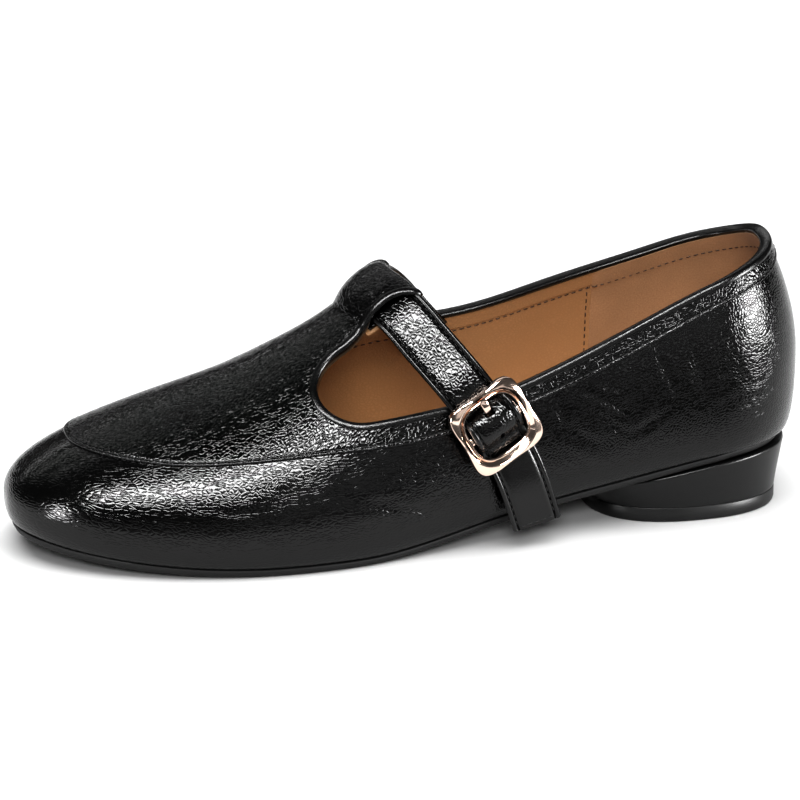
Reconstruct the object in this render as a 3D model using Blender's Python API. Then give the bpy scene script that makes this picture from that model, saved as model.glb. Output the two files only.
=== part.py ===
"""Left T-strap shoe on a low block heel, with a square buckle on its outer side.

All sizes are in millimetres and become metres when a mesh is made. X runs from the heel to the toe,
Y to the wearer's left, which is the outer side with the buckle, and Z up from the floor.
"""
import functools
import math

import bpy
import numpy as np

MM = 0.001
GAP = 0.3                # clearance between pieces that meet
SEAT_GAP = 0.45          # the same along the curve of the sole
OUTER, INNER = 1, -1     # the two sides of the foot

# The last: stations along X, from just behind the heel seat
X_BACK = 4.0             # back of the heel seat
X_HEEL = 34.0            # centre of the heel curve
X_ARCH_END = 148.0       # the sole meets the floor here
X_BALL = 170.0           # centre of the toe curve
X_SPRING = 172.0         # the toe starts to rise
X_TIP = 246.0            # tip of the toe
SOLE = 3.0               # edge height of the outsole
TOE_SPRING = 6.5         # rise of the sole under the tip
SWING = 4.0              # how far the toe turns in
INSTEP_SLOPE = -0.47     # slope of the ridge where the toe curve starts
WALL = 1.7               # lined leather below the last's surface
APRON_STEP = 0.9         # apron and collar band stand this far above the vamp
STEP_RUN = 0.8           # girth over which that step rises
ROLL = 2.4               # width of the rolled edge round the opening
ROLL_RISE = 0.5
FEATHER_OUT = 0.75       # pulls of the curve from the sole's edge to the bulge, as shares
FEATHER_UP = 0.12
BULGE_PULL = 0.5
FOOT_POINTS = 30         # points of a half section below the bulge and above it
HEAD_POINTS = 60

# Rise of the sole above the floor: x, z
LIFT = ((0, 21.5), (30, 19.2), (60, 14.3), (90, 8.8), (120, 2.9), (X_ARCH_END, 0))

# Half sections: x, sole half width outer and inner, bulge of the wall and its height, ridge height,
# fullness of the side and of the top
SECTION_COLUMNS = ("x", "outer", "inner", "bulge", "bulge_z", "ridge", "side_full", "top_full")
SECTIONS = (
    (X_HEEL, 27.5, 27.5, 3.0, 20, 103.5, 0.62, 0.60),
    (65, 27.5, 26.5, 3.0, 18, 98.0, 0.60, 0.60),
    (95, 28.3, 22.0, 3.0, 16, 93.0, 0.58, 0.58),
    (125, 33.5, 26.0, 2.5, 14, 84.5, 0.50, 0.50),
    (150, 39.0, 34.0, 2.0, 12, 66.4, 0.50, 0.50),
    (X_BALL, 40.5, 38.0, 2.0, 11, 56.0, 0.50, 0.50),
)
HEEL_END = dict(pole=X_HEEL, reach=X_HEEL - X_BACK, way=-1, power={OUTER: 2.15, INNER: 2.15},
                bulge=2.6, bulge_z=24, side_full=0.36, top_full=0.60, slope=-0.10)
TOE_END = dict(pole=X_BALL, reach=X_TIP - X_BALL, way=1, power={OUTER: 1.92, INNER: 2.55},
               bulge=2.0, bulge_z=7.5, side_full=0.45, top_full=0.33, slope=INSTEP_SLOPE)

# Runs round the sole's edge from the back of the heel: to the side of the heel, to the ball, to the tip
HEEL_RUN = 46.0
SIDE_RUN = X_BALL - X_HEEL
TOE_RUN = 95.0
# Girth from the sole's edge up to the topline: run, outer, inner
TOPLINE = (
    (0, 62.2, 62.2),
    (23, 60.4, 57.8),
    (46, 56.0, 53.4),
    (87, 45.3, 51.2),
    (121, 40.3, 51.6),
    (148, 41.8, 50.2),
    (175, 41.5, 46.0),
)
# Girth up to the seam under the apron and the collar band: run, outer, inner
SEAM = (
    (0, 57.0, 57.0),
    (23, 53.8, 53.5),
    (46, 48.6, 48.6),
    (94, 36.2, 44.3),
    (134, 33.2, 42.6),
    (162, 34.2, 39.8),
    (182, 33.8, 36.6),
    (210, 33.0, 33.6),
    (239, 32.6, 32.6),
    (277, 35.0, 35.0),
)

# The two throat openings beside the T-bar end in a round bow
X_BOW = 158.6            # foremost point of the bow
BOW_FROM_RIDGE = 27.0    # girth from the ridge to that point
BOW_LOW_RUN = 14.0       # the bow's lower curve runs this far back
BOW_BAR_RUN = 9.0        # and its upper curve
BAR_HALF = 20.0          # half width of the T-bar at its neck

# The strap crosses the ridge in the loop and falls back on both sides
X_STRAP = 136.2
STRAP_FALL = {OUTER: 0.54, INNER: 0.66}   # backward run for each unit of girth, far from the ridge
STRAP_ROUND = 10.0       # how softly it turns on the ridge
STRAP_HALF = 7.9
STRAP_THICK = 1.8
RIDGE_COS = 0.8          # cosine of the ridge's slope at the strap
STRAP_LEAVES = 18.0      # it lies on the last up to this girth from the ridge
# Underside of the strap above the last on the inner side, by girth from the ridge
STRAP_INNER = ((-46, -4.0), (-41, -4.0), (-37, -3.9), (-30, -2.4), (-23.5, -0.6), (-STRAP_LEAVES, 0))
STRAP_SAG = 1.2          # outward bow of its free run from there to the buckle
SAG_SHARES = (0.3, 0.65)
FREE_ROWS = 7            # rows of points along that run
# Loop of the T-bar round the strap: skin along the ridge from the strap's middle, skin height above
# the last, tunnel along, tunnel height, girth from the ridge to the loop's side edge
LOOP_NECK = 12.0         # the loop leaves the T-bar this far from the strap's middle
LOOP = (
    (10.0, 1.45, 8.4, 1.2, 14.1),
    (8.4, 2.6, 8.15, 2.1, 14.0),
    (5.5, 3.25, 5.3, 2.25, 14.3),
    (0.0, 3.45, 0.0, 2.25, 14.9),
    (-5.5, 3.25, -5.3, 2.25, 17.3),
    (-8.2, 2.8, -8.05, 2.2, 19.0),
    (-9.3, 1.8, -8.45, 1.6, 19.6),
    (-9.4, 0.3, -8.45, 0.3, 19.6),
    (-8.6, -1.1, -8.05, -0.42, 19.0),
    (-6.0, -1.7, -5.3, -0.42, 17.3),
    (0.0, -1.7, 0.0, -0.42, 14.9),
    (6.0, -1.7, 8.05, -0.42, 14.1),
)
TUNNEL_NECK = ((8.45, 0.6, 14.1), (8.45, 0.2, 14.1))   # tunnel where the fold opens into the neck
# Rows of points along the strap on the last, by girth from the ridge
STRAP_ROWS_INNER = (-46, -43, -39, -36, -33, -30, -27, -24, -21)
LOOP_ROWS = 13
STRAP_COLUMN = 4.4       # column of points between the slot and the strap's edge

# Buckle: local axes are along the strap, across it and out from the wall
BUCKLE_X = 107.0
BUCKLE_Z = 40.0
BUCKLE_LEAN = math.radians(29.5)
FRAME_LONG = 12.3        # half sizes of the frame and of its window
FRAME_WIDE = 12.5
WINDOW_LONG = 8.6
WINDOW_WIDE = 9.0
FRAME_LOW = 3.8          # underside of the frame above the wall
FRAME_POINTS = 40
FRAME_WAIST = 0.04       # how far the sides pull in, as a share
# Section of the frame: share of its width from the outer edge, height above its underside
FRAME_SECTION = (
    (0.0, 0.5),
    (0.0, 1.6),
    (0.10, 2.2),
    (0.42, 2.6),
    (0.60, 2.3),
    (1.0, 0.8),
    (1.0, 0.0),
    (0.10, 0.0),
)
WINDOW_CELL = 5          # the side of that section that faces the window
FRAME_POWER = 4.5        # squareness of the frame and of its window
WINDOW_POWER = 4.0
PRONG_HALF = 1.2
PRONG_THICK = 1.0
# Prong: along the strap, height above the wall
PRONG = (
    (2.2, 4.0),
    (1.85, 3.1),
    (0.0, 2.8),
    (-1.85, 3.1),
    (-2.6, 4.0),
    (-5.0, 5.8),
    (-8.4, 7.35),
    (-10.4, 7.25),
)
# Strap through the buckle: along, height of its underside above the wall, shift across
STRAP_IN_BUCKLE = (
    (-11.0, 1.75, 0),
    (-8.5, 1.70, 0),
    (-5.8, 1.68, 0),
    (-4.6, 2.9, 0),
    (-3.1, 4.75, 0),
    (-1.0, 5.35, 0),
    (1.2, 5.1, 0),
    (3.4, 3.7, 0),
    (6.2, 1.35, 0),
    (8.5, 1.0, 0),
    (11.0, 0.8, 0),
    (17.0, 0.6, 0.5),
    (26.0, -0.3, 2.0),
    (36.5, -2.4, 4.0),
)
BUCKLE_ROWS = 29         # rows of points along that run
SLOT = (-6.4, -1.4)      # slot for the prong, along the strap
SLOT_HALF = 1.7

# Heel: outlines at its top and bottom, and the layer that wears
HEEL_TOP = dict(middle=41.0, half_long=36.5, half_wide=26.6)
HEEL_FOOT = dict(middle=37.6, half_long=30.3, half_wide=24.6)
HEEL_POWER = 2.35
HEEL_POINTS = 48
HEEL_LAYERS = (0.0, 0.25, 0.5, 0.75, 0.94, 1.0)   # shares of the block's height
HEEL_FLARE = 1.15        # how late the block widens towards its top
HEEL_ROUND = 1.0         # rounding of its upper edge
TOP_LIFT = 4.6
TOP_LIFT_ROUND = 0.7

# Outsole: inset from the upper's lower edge, height above the underside
OUTSOLE_RINGS = ((1.6, 0.0), (0.4, 0.35), (-0.1, 1.1), (-0.1, SOLE - GAP - 0.5), (0.3, SOLE - GAP))
INSOLE_THICK = 1.8
INSOLE_INSET = 2.6
INSOLE_ROUND = 0.5

# Colour, roughness and metal share of each piece
FINISH = {
    "outsole": ((0.012, 0.012, 0.012), 0.55, 0.0),
    "heel_block": ((0.010, 0.010, 0.010), 0.35, 0.0),
    "top_lift": ((0.014, 0.014, 0.014), 0.60, 0.0),
    "insole": ((0.42, 0.22, 0.09), 0.55, 0.0),
    "upper": ((0.010, 0.010, 0.010), 0.30, 0.0),
    "strap": ((0.010, 0.010, 0.010), 0.32, 0.0),
    "buckle_frame": ((0.86, 0.62, 0.45), 0.12, 1.0),
    "buckle_prong": ((0.86, 0.62, 0.45), 0.12, 1.0),
}


def spline(xs, ys, start=None, end=None):
    """Cubic curve through the rows; start and end are slopes, or None to let that end run free."""
    xs = np.asarray(xs, float)
    ys = np.asarray(ys, float)
    steps = np.diff(xs)
    count = len(xs)
    matrix = np.zeros((count, count))
    right = np.zeros(count)
    for row, beside, slope in ((0, 1, start), (-1, -2, end)):
        free = slope is None
        matrix[row, row] = 2.0 if free else 1.0
        matrix[row, beside] = 1.0 if free else 0.0
        right[row] = 3 * (ys[beside] - ys[row]) / (xs[beside] - xs[row]) if free else slope
    for i in range(1, count - 1):
        matrix[i, i - 1] = 1 / steps[i - 1]
        matrix[i, i] = 2 / steps[i - 1] + 2 / steps[i]
        matrix[i, i + 1] = 1 / steps[i]
        right[i] = 3 * ((ys[i] - ys[i - 1]) / steps[i - 1] ** 2 + (ys[i + 1] - ys[i]) / steps[i] ** 2)
    slopes = np.linalg.solve(matrix, right)

    def value(x):
        x = np.clip(np.asarray(x, float), xs[0], xs[-1])
        i = np.clip(np.searchsorted(xs, x) - 1, 0, count - 2)
        t = (x - xs[i]) / steps[i]
        return ((1 + 2 * t) * (1 - t) ** 2 * ys[i] + t * (1 - t) ** 2 * steps[i] * slopes[i]
                + t * t * (3 - 2 * t) * ys[i + 1] + t * t * (t - 1) * steps[i] * slopes[i + 1])
    return value


def section_curves():
    """One curve along X for each column of the section table."""
    columns = dict(zip(SECTION_COLUMNS, zip(*SECTIONS)))
    ends = {"outer": (0, 0), "inner": (0, 0), "ridge": (None, INSTEP_SLOPE)}
    return {name: spline(columns["x"], columns[name], *ends.get(name, (None, None)))
            for name in SECTION_COLUMNS[1:]}


SECTION = section_curves()
LIFT_CURVE = spline(*zip(*LIFT), None, 0)


def edge_curves(rows, end):
    """A curve for each side, by the run round the sole's edge."""
    run, outer, inner = zip(*rows)
    return {OUTER: spline(run, outer, 0, end), INNER: spline(run, inner, 0, end)}


TOPLINE_CURVE = edge_curves(TOPLINE, None)
SEAM_CURVE = edge_curves(SEAM, 0)


def edge_run(station):
    """Run round the sole's edge up to a station: -1 back of heel, 0 to 1 heel to ball, 2 tip of toe."""
    return np.interp(station, (-1, 0, 1, 2),
                     (0, HEEL_RUN, HEEL_RUN + SIDE_RUN, HEEL_RUN + SIDE_RUN + TOE_RUN))


def topline(station, side):
    return float(TOPLINE_CURVE[side](edge_run(station)))


def seam_line(station, side):
    return float(SEAM_CURVE[side](edge_run(station)))


def sole_rise(x):
    """Height of the sole's underside."""
    toe = np.maximum((np.asarray(x, float) - X_SPRING) / (X_TIP - X_SPRING), 0)
    return LIFT_CURVE(x) + TOE_SPRING * toe ** 2


def swing(x):
    """Sideways place of the last's middle line."""
    return -SWING * ((np.asarray(x, float) - X_HEEL) / (X_TIP - X_HEEL)) ** 2


def half_section(station, side):
    """Place, direction and sizes of one half section of the last."""
    end = HEEL_END if station < 0 else TOE_END
    pole = float(np.clip(X_HEEL + SIDE_RUN * station, X_HEEL, X_BALL))
    cos, sin = 0.0, 1.0
    if station < 0 or station > 1:
        angle = (1 + station if station < 0 else 2 - station) * math.pi / 2
        cos, sin = math.cos(angle), math.sin(angle)
    wide = float(SECTION["outer" if side == OUTER else "inner"](pole))
    power = end["power"][side]
    sizes = {key: float(SECTION[key](pole)) * sin ** 2 + end[key] * cos ** 2
             for key in ("bulge", "bulge_z", "side_full", "top_full")}
    sizes["reach"] = ((cos / end["reach"]) ** power + (sin / wide) ** power) ** (-1 / power)
    sizes["oval"] = ((cos / end["reach"]) ** 2 + (sin / wide) ** 2) ** -0.5
    sizes["slope"] = end["slope"] * cos
    sizes["side_share"] = sin ** 4
    sizes["ridge"] = float(SECTION["ridge"](pole))
    sizes["pole"] = pole
    sizes["way"] = np.array([end["way"] * cos, side * sin])
    return sizes


def bezier(corners, count):
    t = np.linspace(0, 1, count)[:, None]
    a, b, c, d = np.asarray(corners, float)
    return (1 - t) ** 3 * a + 3 * t * (1 - t) ** 2 * b + 3 * t * t * (1 - t) * c + t ** 3 * d


@functools.lru_cache(maxsize=None)
def rib(station, side):
    """Points of a half section from the sole's edge to the ridge, and the girth up to each."""
    s = half_section(station, side)
    out = s["reach"] + s["bulge"]
    low = SOLE + float(sole_rise(s["pole"] + s["way"][0] * s["reach"]))
    mid = low + s["bulge_z"]
    high = s["ridge"] - mid
    top = s["top_full"] * s["oval"]
    foot = bezier([(s["reach"], low),
                   (s["reach"] + FEATHER_OUT * s["bulge"], low + FEATHER_UP * s["bulge_z"]),
                   (out, mid - BULGE_PULL * s["bulge_z"]), (out, mid)], FOOT_POINTS)
    shoulder = high + s["slope"] * out * s["side_share"]
    head = bezier([(out, mid), (out, mid + s["side_full"] * shoulder),
                   (top, s["ridge"] + s["slope"] * top), (0, s["ridge"])], HEAD_POINTS)
    curve = np.vstack([foot, head[1:]])
    points = np.empty((len(curve), 3))
    points[:, 0] = s["pole"] + s["way"][0] * curve[:, 0]
    points[:, 1] = s["way"][1] * curve[:, 0] + swing(points[:, 0])
    points[:, 2] = curve[:, 1]
    girth = np.concatenate([[0], np.cumsum(np.linalg.norm(np.diff(points, axis=0), axis=1))])
    return points, girth


def full_girth(station, side):
    return rib(station, side)[1][-1]


def on_last(station, side, girth):
    """Point of the last's surface, by its station and its girth from the sole's edge."""
    points, girths = rib(station, side)
    return np.array([np.interp(girth, girths, points[:, k]) for k in range(3)])


def from_ridge(x, reach):
    """Point of the last's surface, by X and its girth from the ridge (inner side negative)."""
    side = OUTER if reach >= 0 else INNER
    station = (x - X_HEEL) / SIDE_RUN
    return on_last(station, side, full_girth(station, side) - abs(reach))


def unit(vector):
    return vector / np.linalg.norm(vector)


def surface_normal(x, reach):
    """Outward direction of the last's surface beside the ridge."""
    step = 1.0
    along = from_ridge(x + step, reach) - from_ridge(x - step, reach)
    round_ = from_ridge(x, reach + step) - from_ridge(x, reach - step)
    return unit(np.cross(along, round_))


def strap_fall(reach):
    """How far the strap and the end of the T-bar fall back, by girth from the ridge (inner side negative)."""
    return STRAP_FALL[OUTER if reach >= 0 else INNER] * (math.hypot(reach, STRAP_ROUND) - STRAP_ROUND)


def strap_line(reach):
    """X of the strap's middle line, by girth from the ridge."""
    return X_STRAP - strap_fall(reach)


def strap_frame(reach):
    """Middle of the strap on the last, with the directions across it (to the toe) and out."""
    step = 0.5
    before, middle, after = [from_ridge(strap_line(r), r) for r in (reach - step, reach, reach + step)]
    run = after - before
    out = surface_normal(strap_line(reach), reach)
    across = unit(np.cross(run, out))
    return middle, across, unit(np.cross(across, run))


def buckle_frame_axes():
    """Middle of the buckle on the wall, and the directions along the strap, across it and out."""
    station = (BUCKLE_X - X_HEEL) / SIDE_RUN
    points, girths = rib(station, OUTER)
    reach = girths[-1] - np.interp(BUCKLE_Z, points[:, 2], girths)
    out = surface_normal(BUCKLE_X, reach)
    down = np.array([-math.sin(BUCKLE_LEAN), 0, -math.cos(BUCKLE_LEAN)])
    along = unit(down - out * down.dot(out))
    return from_ridge(BUCKLE_X, reach), along, np.cross(along, out), out


def vertex_normals(points, faces):
    normals = np.zeros_like(points)
    for face in faces:
        corners = points[list(face)]
        area = np.zeros(3)
        for i in range(1, len(face) - 1):
            area += np.cross(corners[i] - corners[0], corners[i + 1] - corners[0])
        normals[list(face)] += area
    return normals / np.linalg.norm(normals, axis=1)[:, None]


def border(faces):
    """Directed edges that only one face has."""
    edges = {(f[i], f[(i + 1) % len(f)]) for f in faces for i in range(len(f))}
    return [(a, b) for a, b in edges if (b, a) not in edges]


def thicken(points, faces, rise, depth, open_row=()):
    """Closed wall from an open sheet; edges inside open_row stay open for another piece of skin."""
    normals = vertex_normals(points, faces)
    count = len(points)
    skins = np.vstack([points + normals * rise[:, None], points - normals * depth[:, None]])
    solid = list(faces) + [tuple(i + count for i in reversed(face)) for face in faces]
    open_row = set(open_row)
    for a, b in sorted(border(faces)):
        if not (a in open_row and b in open_row):
            solid.append((b, a, a + count, b + count))
    return skins, solid


def loft(rings):
    """Closed solid from rings of equal length, bottom to top, with strips across both ends."""
    count = len(rings[0])
    points = np.vstack(rings)
    faces = []
    for layer in range(len(rings) - 1):
        low, high = layer * count, (layer + 1) * count
        for i in range(count):
            k = (i + 1) % count
            faces.append((low + i, low + k, high + k, high + i))
    last = (len(rings) - 1) * count
    for i in range(count // 2):
        strip = [i, i + 1, count - 1 - i, (count - i) % count]
        strip = list(dict.fromkeys(strip))
        if len(strip) > 2:
            faces.append(tuple(reversed(strip)))
            faces.append(tuple(last + k for k in strip))
    return points, faces


def add_object(name, points, faces, parent, smooth_angle=40):
    mesh = bpy.data.meshes.new(name)
    mesh.from_pydata((np.asarray(points) * MM).tolist(), [], [tuple(map(int, f)) for f in faces])
    mesh.validate()
    mesh.shade_smooth()
    mesh.set_sharp_from_angle(angle=math.radians(smooth_angle))
    colour, roughness, metal = FINISH[name]
    material = bpy.data.materials.new(name)
    material.use_nodes = True
    shader = material.node_tree.nodes["Principled BSDF"]
    shader.inputs["Base Color"].default_value = (*colour, 1)
    shader.inputs["Roughness"].default_value = roughness
    shader.inputs["Metallic"].default_value = metal
    mesh.materials.append(material)
    obj = bpy.data.objects.new(name, mesh)
    bpy.context.scene.collection.objects.link(obj)
    obj.parent = parent
    return obj


def sole_stations():
    """Stations round the sole, close together where its outline turns."""
    arch_end = (X_ARCH_END - X_HEEL) / SIDE_RUN
    return np.concatenate([np.linspace(-1, 0, 8), np.linspace(0, arch_end, 11)[1:], [1.0, 1.02],
                           np.linspace(1.02, 2, 13)[1:]])


def sole_ring(inset, height):
    """Closed ring round the sole, inset from the upper's lower edge and above the sole's underside."""
    ring = []
    stations = sole_stations()
    for side, order in ((OUTER, stations), (INNER, stations[-2:0:-1])):
        for station in order:
            s = half_section(station, side)
            x, y = np.array([s["pole"], 0]) + s["way"] * (s["reach"] - inset)
            ring.append((x, y + float(swing(x)), float(sole_rise(x)) + height))
    return np.array(ring)[::-1]


def make_outsole(parent):
    """Thin sole with a rounded edge, arch and toe spring."""
    rings = [sole_ring(inset, height) for inset, height in OUTSOLE_RINGS]
    add_object("outsole", *loft(rings), parent)


def make_insole(parent):
    """Sock lying on the sole inside the wall."""
    low = SOLE - GAP + SEAT_GAP
    rings = [sole_ring(INSOLE_INSET, low), sole_ring(INSOLE_INSET, low + INSOLE_THICK - INSOLE_ROUND),
             sole_ring(INSOLE_INSET + INSOLE_ROUND, low + INSOLE_THICK)]
    add_object("insole", *loft(rings), parent)


def heel_outline(middle, half_long, half_wide):
    """Rounded outline of the heel, back to front on the outer side and back again."""
    turn = np.linspace(0, 2 * math.pi, HEEL_POINTS, endpoint=False)
    power = 2 / HEEL_POWER
    x = middle - half_long * np.sign(np.cos(turn)) * np.abs(np.cos(turn)) ** power
    y = -half_wide * np.sign(np.sin(turn)) * np.abs(np.sin(turn)) ** power
    return np.column_stack([x, y])


def heel_layer(share):
    """Outline between the heel's foot (0) and its top (1)."""
    size = {key: HEEL_FOOT[key] * (1 - share) + HEEL_TOP[key] * share for key in HEEL_FOOT}
    return heel_outline(**size)


def make_heel(parent):
    """Block with a rounded breast, and the flat layer that it stands on."""
    base = TOP_LIFT + GAP
    rings = []
    for share in HEEL_LAYERS:
        outline = heel_layer(share ** HEEL_FLARE)
        if share == HEEL_LAYERS[-1]:
            outline = heel_outline(HEEL_TOP["middle"], HEEL_TOP["half_long"] - HEEL_ROUND,
                                   HEEL_TOP["half_wide"] - HEEL_ROUND)
        top = sole_rise(outline[:, 0]) - SEAT_GAP
        rings.append(np.column_stack([outline, base + (top - base) * share]))
    add_object("heel_block", *loft(rings), parent)
    foot = heel_layer(0.0)
    middle = np.array([HEEL_FOOT["middle"], 0])
    inset = middle + (foot - middle) * (1 - TOP_LIFT_ROUND / HEEL_FOOT["half_wide"])
    levels = ((inset, 0.0), (foot, TOP_LIFT_ROUND), (foot, TOP_LIFT))
    rings = [np.column_stack([outline, np.full(len(outline), z)]) for outline, z in levels]
    add_object("top_lift", *loft(rings), parent)


# Rows of the upper's grid: share of the wall below the seam, share of the band above it
WALL_ROWS = (0.0, 0.10, 0.24, 0.42, 0.62, 0.82, 1.0)
BAND_ROWS = (0.0, 0.45, 1.0)
ROLL_ROWS = ((0.55, 1.0), (1.0, 0.25))          # share of the roll's width, share of its rise
BAR_ROWS = (0.0, 0.055, 0.12, 0.34, 0.58, 0.80, 1.0)   # share from the T-bar's edge to the ridge
BAR_ROLL = (0.25, 1.0, 0.0, 0.0, 0.0, 0.0, 0.0)        # share of the roll's rise on those rows
BOW_STEPS = (0.0, 0.35, 1.4, 3.1, 5.6, 9.0, 13.0)      # columns behind the bow's foremost point
BAR_STEPS = (0.0, 0.35, 1.4, 3.1, 5.6)                 # and along the T-bar


def bow_station():
    return (X_BOW - X_HEEL) / SIDE_RUN


def round_off(distance, run):
    """Falls from 1 to 0 over the run, along a quarter of an oval."""
    left = 1 - np.clip(distance / run, 0, 1)
    return 1 - math.sqrt(1 - left ** 2)


def opening_edge(station, side):
    """Girth of the topline, or of the row that carries it on over the vamp."""
    tip = bow_station()
    tip_girth = full_girth(tip, side) - BOW_FROM_RIDGE
    if station <= tip:
        bow = tip_girth - topline(tip, side)
        return topline(station, side) + bow * round_off((tip - station) * SIDE_RUN, BOW_LOW_RUN)
    seam = seam_line(tip, side)
    share = (tip_girth - seam) / (full_girth(tip, side) - seam)
    seam = seam_line(station, side)
    return seam + share * (full_girth(station, side) - seam)


def bar_row(step, reach):
    """Point of the T-bar, by its distance behind the bow and its girth from the ridge."""
    slant = min(step / BOW_BAR_RUN, 1)
    return from_ridge(X_BOW - step - slant * strap_fall(reach), reach)


def bar_half(step):
    """Half width of the T-bar behind the bow."""
    behind = step + min(step / BOW_BAR_RUN, 1) * strap_fall(BAR_HALF)
    return BAR_HALF + (BOW_FROM_RIDGE - BAR_HALF) * round_off(behind, BOW_BAR_RUN)


class Sheet:
    """Open sheet of faces, with how far each point's outer skin stands above it."""

    def __init__(self):
        self.points = []
        self.rise = []
        self.faces = []

    def add(self, point, rise):
        self.points.append(point)
        self.rise.append(rise)
        return len(self.points) - 1

    def quads(self, first, second, side):
        """Faces between two neighbouring columns, the second further to the toe."""
        for i in range(min(len(first), len(second)) - 1):
            face = [first[i], second[i], second[i + 1], first[i + 1]]
            face = list(dict.fromkeys(face if side == INNER else reversed(face)))
            if len(face) > 2:
                self.faces.append(tuple(face))


def wall_column(sheet, station, side):
    """Column of the wall from the sole's edge over the seam's step to the opening's edge."""
    seam = seam_line(station, side)
    edge = opening_edge(station, side)
    roll = 1.0 if station <= bow_station() else 0.0
    girths = [(seam * share, 0.0) for share in WALL_ROWS]
    low, high = seam + STEP_RUN, edge - ROLL
    girths += [(low + (high - low) * share, APRON_STEP) for share in BAND_ROWS]
    girths += [(edge - ROLL * (1 - share), APRON_STEP + ROLL_RISE * rise * roll) for share, rise in ROLL_ROWS]
    return [sheet.add(on_last(station, side, girth), rise) for girth, rise in girths]


def upper_stations():
    tip = bow_station()
    behind = [tip - step / SIDE_RUN for step in reversed(BOW_STEPS)]
    return np.concatenate([np.linspace(-1, 0, 8), np.linspace(0, behind[0], 14)[1:-1], behind,
                           [0.5 * (tip + 1)], np.linspace(1, 2, 14)])


def make_upper(parent):
    """One wall round the foot, with the apron, the collar band and the T-bar folded into a loop."""
    sheet = Sheet()
    tip = bow_station()
    stations = upper_stations()
    pole = sheet.add(from_ridge(X_BALL - 1e-6, 0.0), APRON_STEP)
    back = wall_column(sheet, -1.0, OUTER)
    front_wall = wall_column(sheet, 2.0, OUTER)
    ridge = {}
    bar = {}
    front_top = None
    for side in (OUTER, INNER):
        columns, tops = [], []
        for station in stations:
            ends = {-1.0: back, 2.0: front_wall}
            column = ends[station] if station in ends else wall_column(sheet, station, side)
            columns.append(column)
            if station < tip - 1e-9:
                continue
            reach = full_girth(station, side) - opening_edge(station, side)
            if station == 2.0 and front_top:
                tops.append(front_top)
                continue
            top = [column[-1]]
            for share in BAR_ROWS[1:-1]:
                girth = full_girth(station, side) - reach * (1 - share)
                top.append(sheet.add(on_last(station, side, girth), APRON_STEP))
            if station >= 1:
                top.append(pole)
            else:
                if station not in ridge:
                    ridge[station] = sheet.add(from_ridge(X_HEEL + SIDE_RUN * station, 0.0), APRON_STEP)
                top.append(ridge[station])
            if station == 2.0:
                front_top = top
            tops.append(top)
        for first, second in zip(columns, columns[1:]):
            sheet.quads(first, second, side)
        for first, second in zip(tops, tops[1:]):
            sheet.quads(first, second, side)
        steps = BAR_STEPS[1:] + (X_BOW - X_STRAP - LOOP_NECK * RIDGE_COS,)
        before = tops[0]
        for step in steps:
            half = bar_half(step)
            row = []
            for share, roll in zip(BAR_ROWS[:-1], BAR_ROLL):
                row.append(sheet.add(bar_row(step, side * half * (1 - share)), APRON_STEP + ROLL_RISE * roll))
            if step not in ridge:
                ridge[step] = sheet.add(bar_row(step, 0.0), APRON_STEP)
            row.append(ridge[step])
            sheet.quads(row, before, side)
            before = row
        bar[side] = before
    neck = list(bar[INNER]) + list(reversed(bar[OUTER][:-1]))
    points = np.array(sheet.points)
    count = len(points)
    skins, faces = thicken(points, sheet.faces, np.array(sheet.rise), np.full(count, WALL), neck)
    skins, faces = add_loop(skins, faces, neck, [i + count for i in neck])
    add_object("upper", skins, faces, parent)


def add_loop(skins, faces, neck, neck_under):
    """Fold of the T-bar: over the strap, round its back edge and forward again under it."""
    shares = [-(1 - share) for share in BAR_ROWS]
    shares += [-share for share in reversed(shares[:-1])]
    columns = range(len(neck))
    points = list(skins)

    def row(along, height, half):
        start = len(points)
        frames = [strap_frame(half * share) for share in shares]
        points.extend(middle + across * along + out * height for middle, across, out in frames)
        return [start + j for j in columns]

    skin = [neck] + [row(along, height, half) for along, height, _, _, half in LOOP] + [neck_under]
    tunnel = [row(*TUNNEL_NECK[0])] + [row(along, height, half) for _, _, along, height, half in LOOP]
    tunnel.append(row(*TUNNEL_NECK[1]))
    for i in range(len(skin) - 1):
        for j in columns[:-1]:
            faces.append((skin[i][j], skin[i][j + 1], skin[i + 1][j + 1], skin[i + 1][j]))
    for i in range(len(tunnel)):
        k = (i + 1) % len(tunnel)
        for j in columns[:-1]:
            faces.append((tunnel[i][j], tunnel[k][j], tunnel[k][j + 1], tunnel[i][j + 1]))
        faces.append((skin[k][-1], skin[i][-1], tunnel[i][-1], tunnel[k][-1]))
        faces.append((skin[i][0], skin[k][0], tunnel[k][0], tunnel[i][0]))
    return np.array(points), faces


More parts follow.
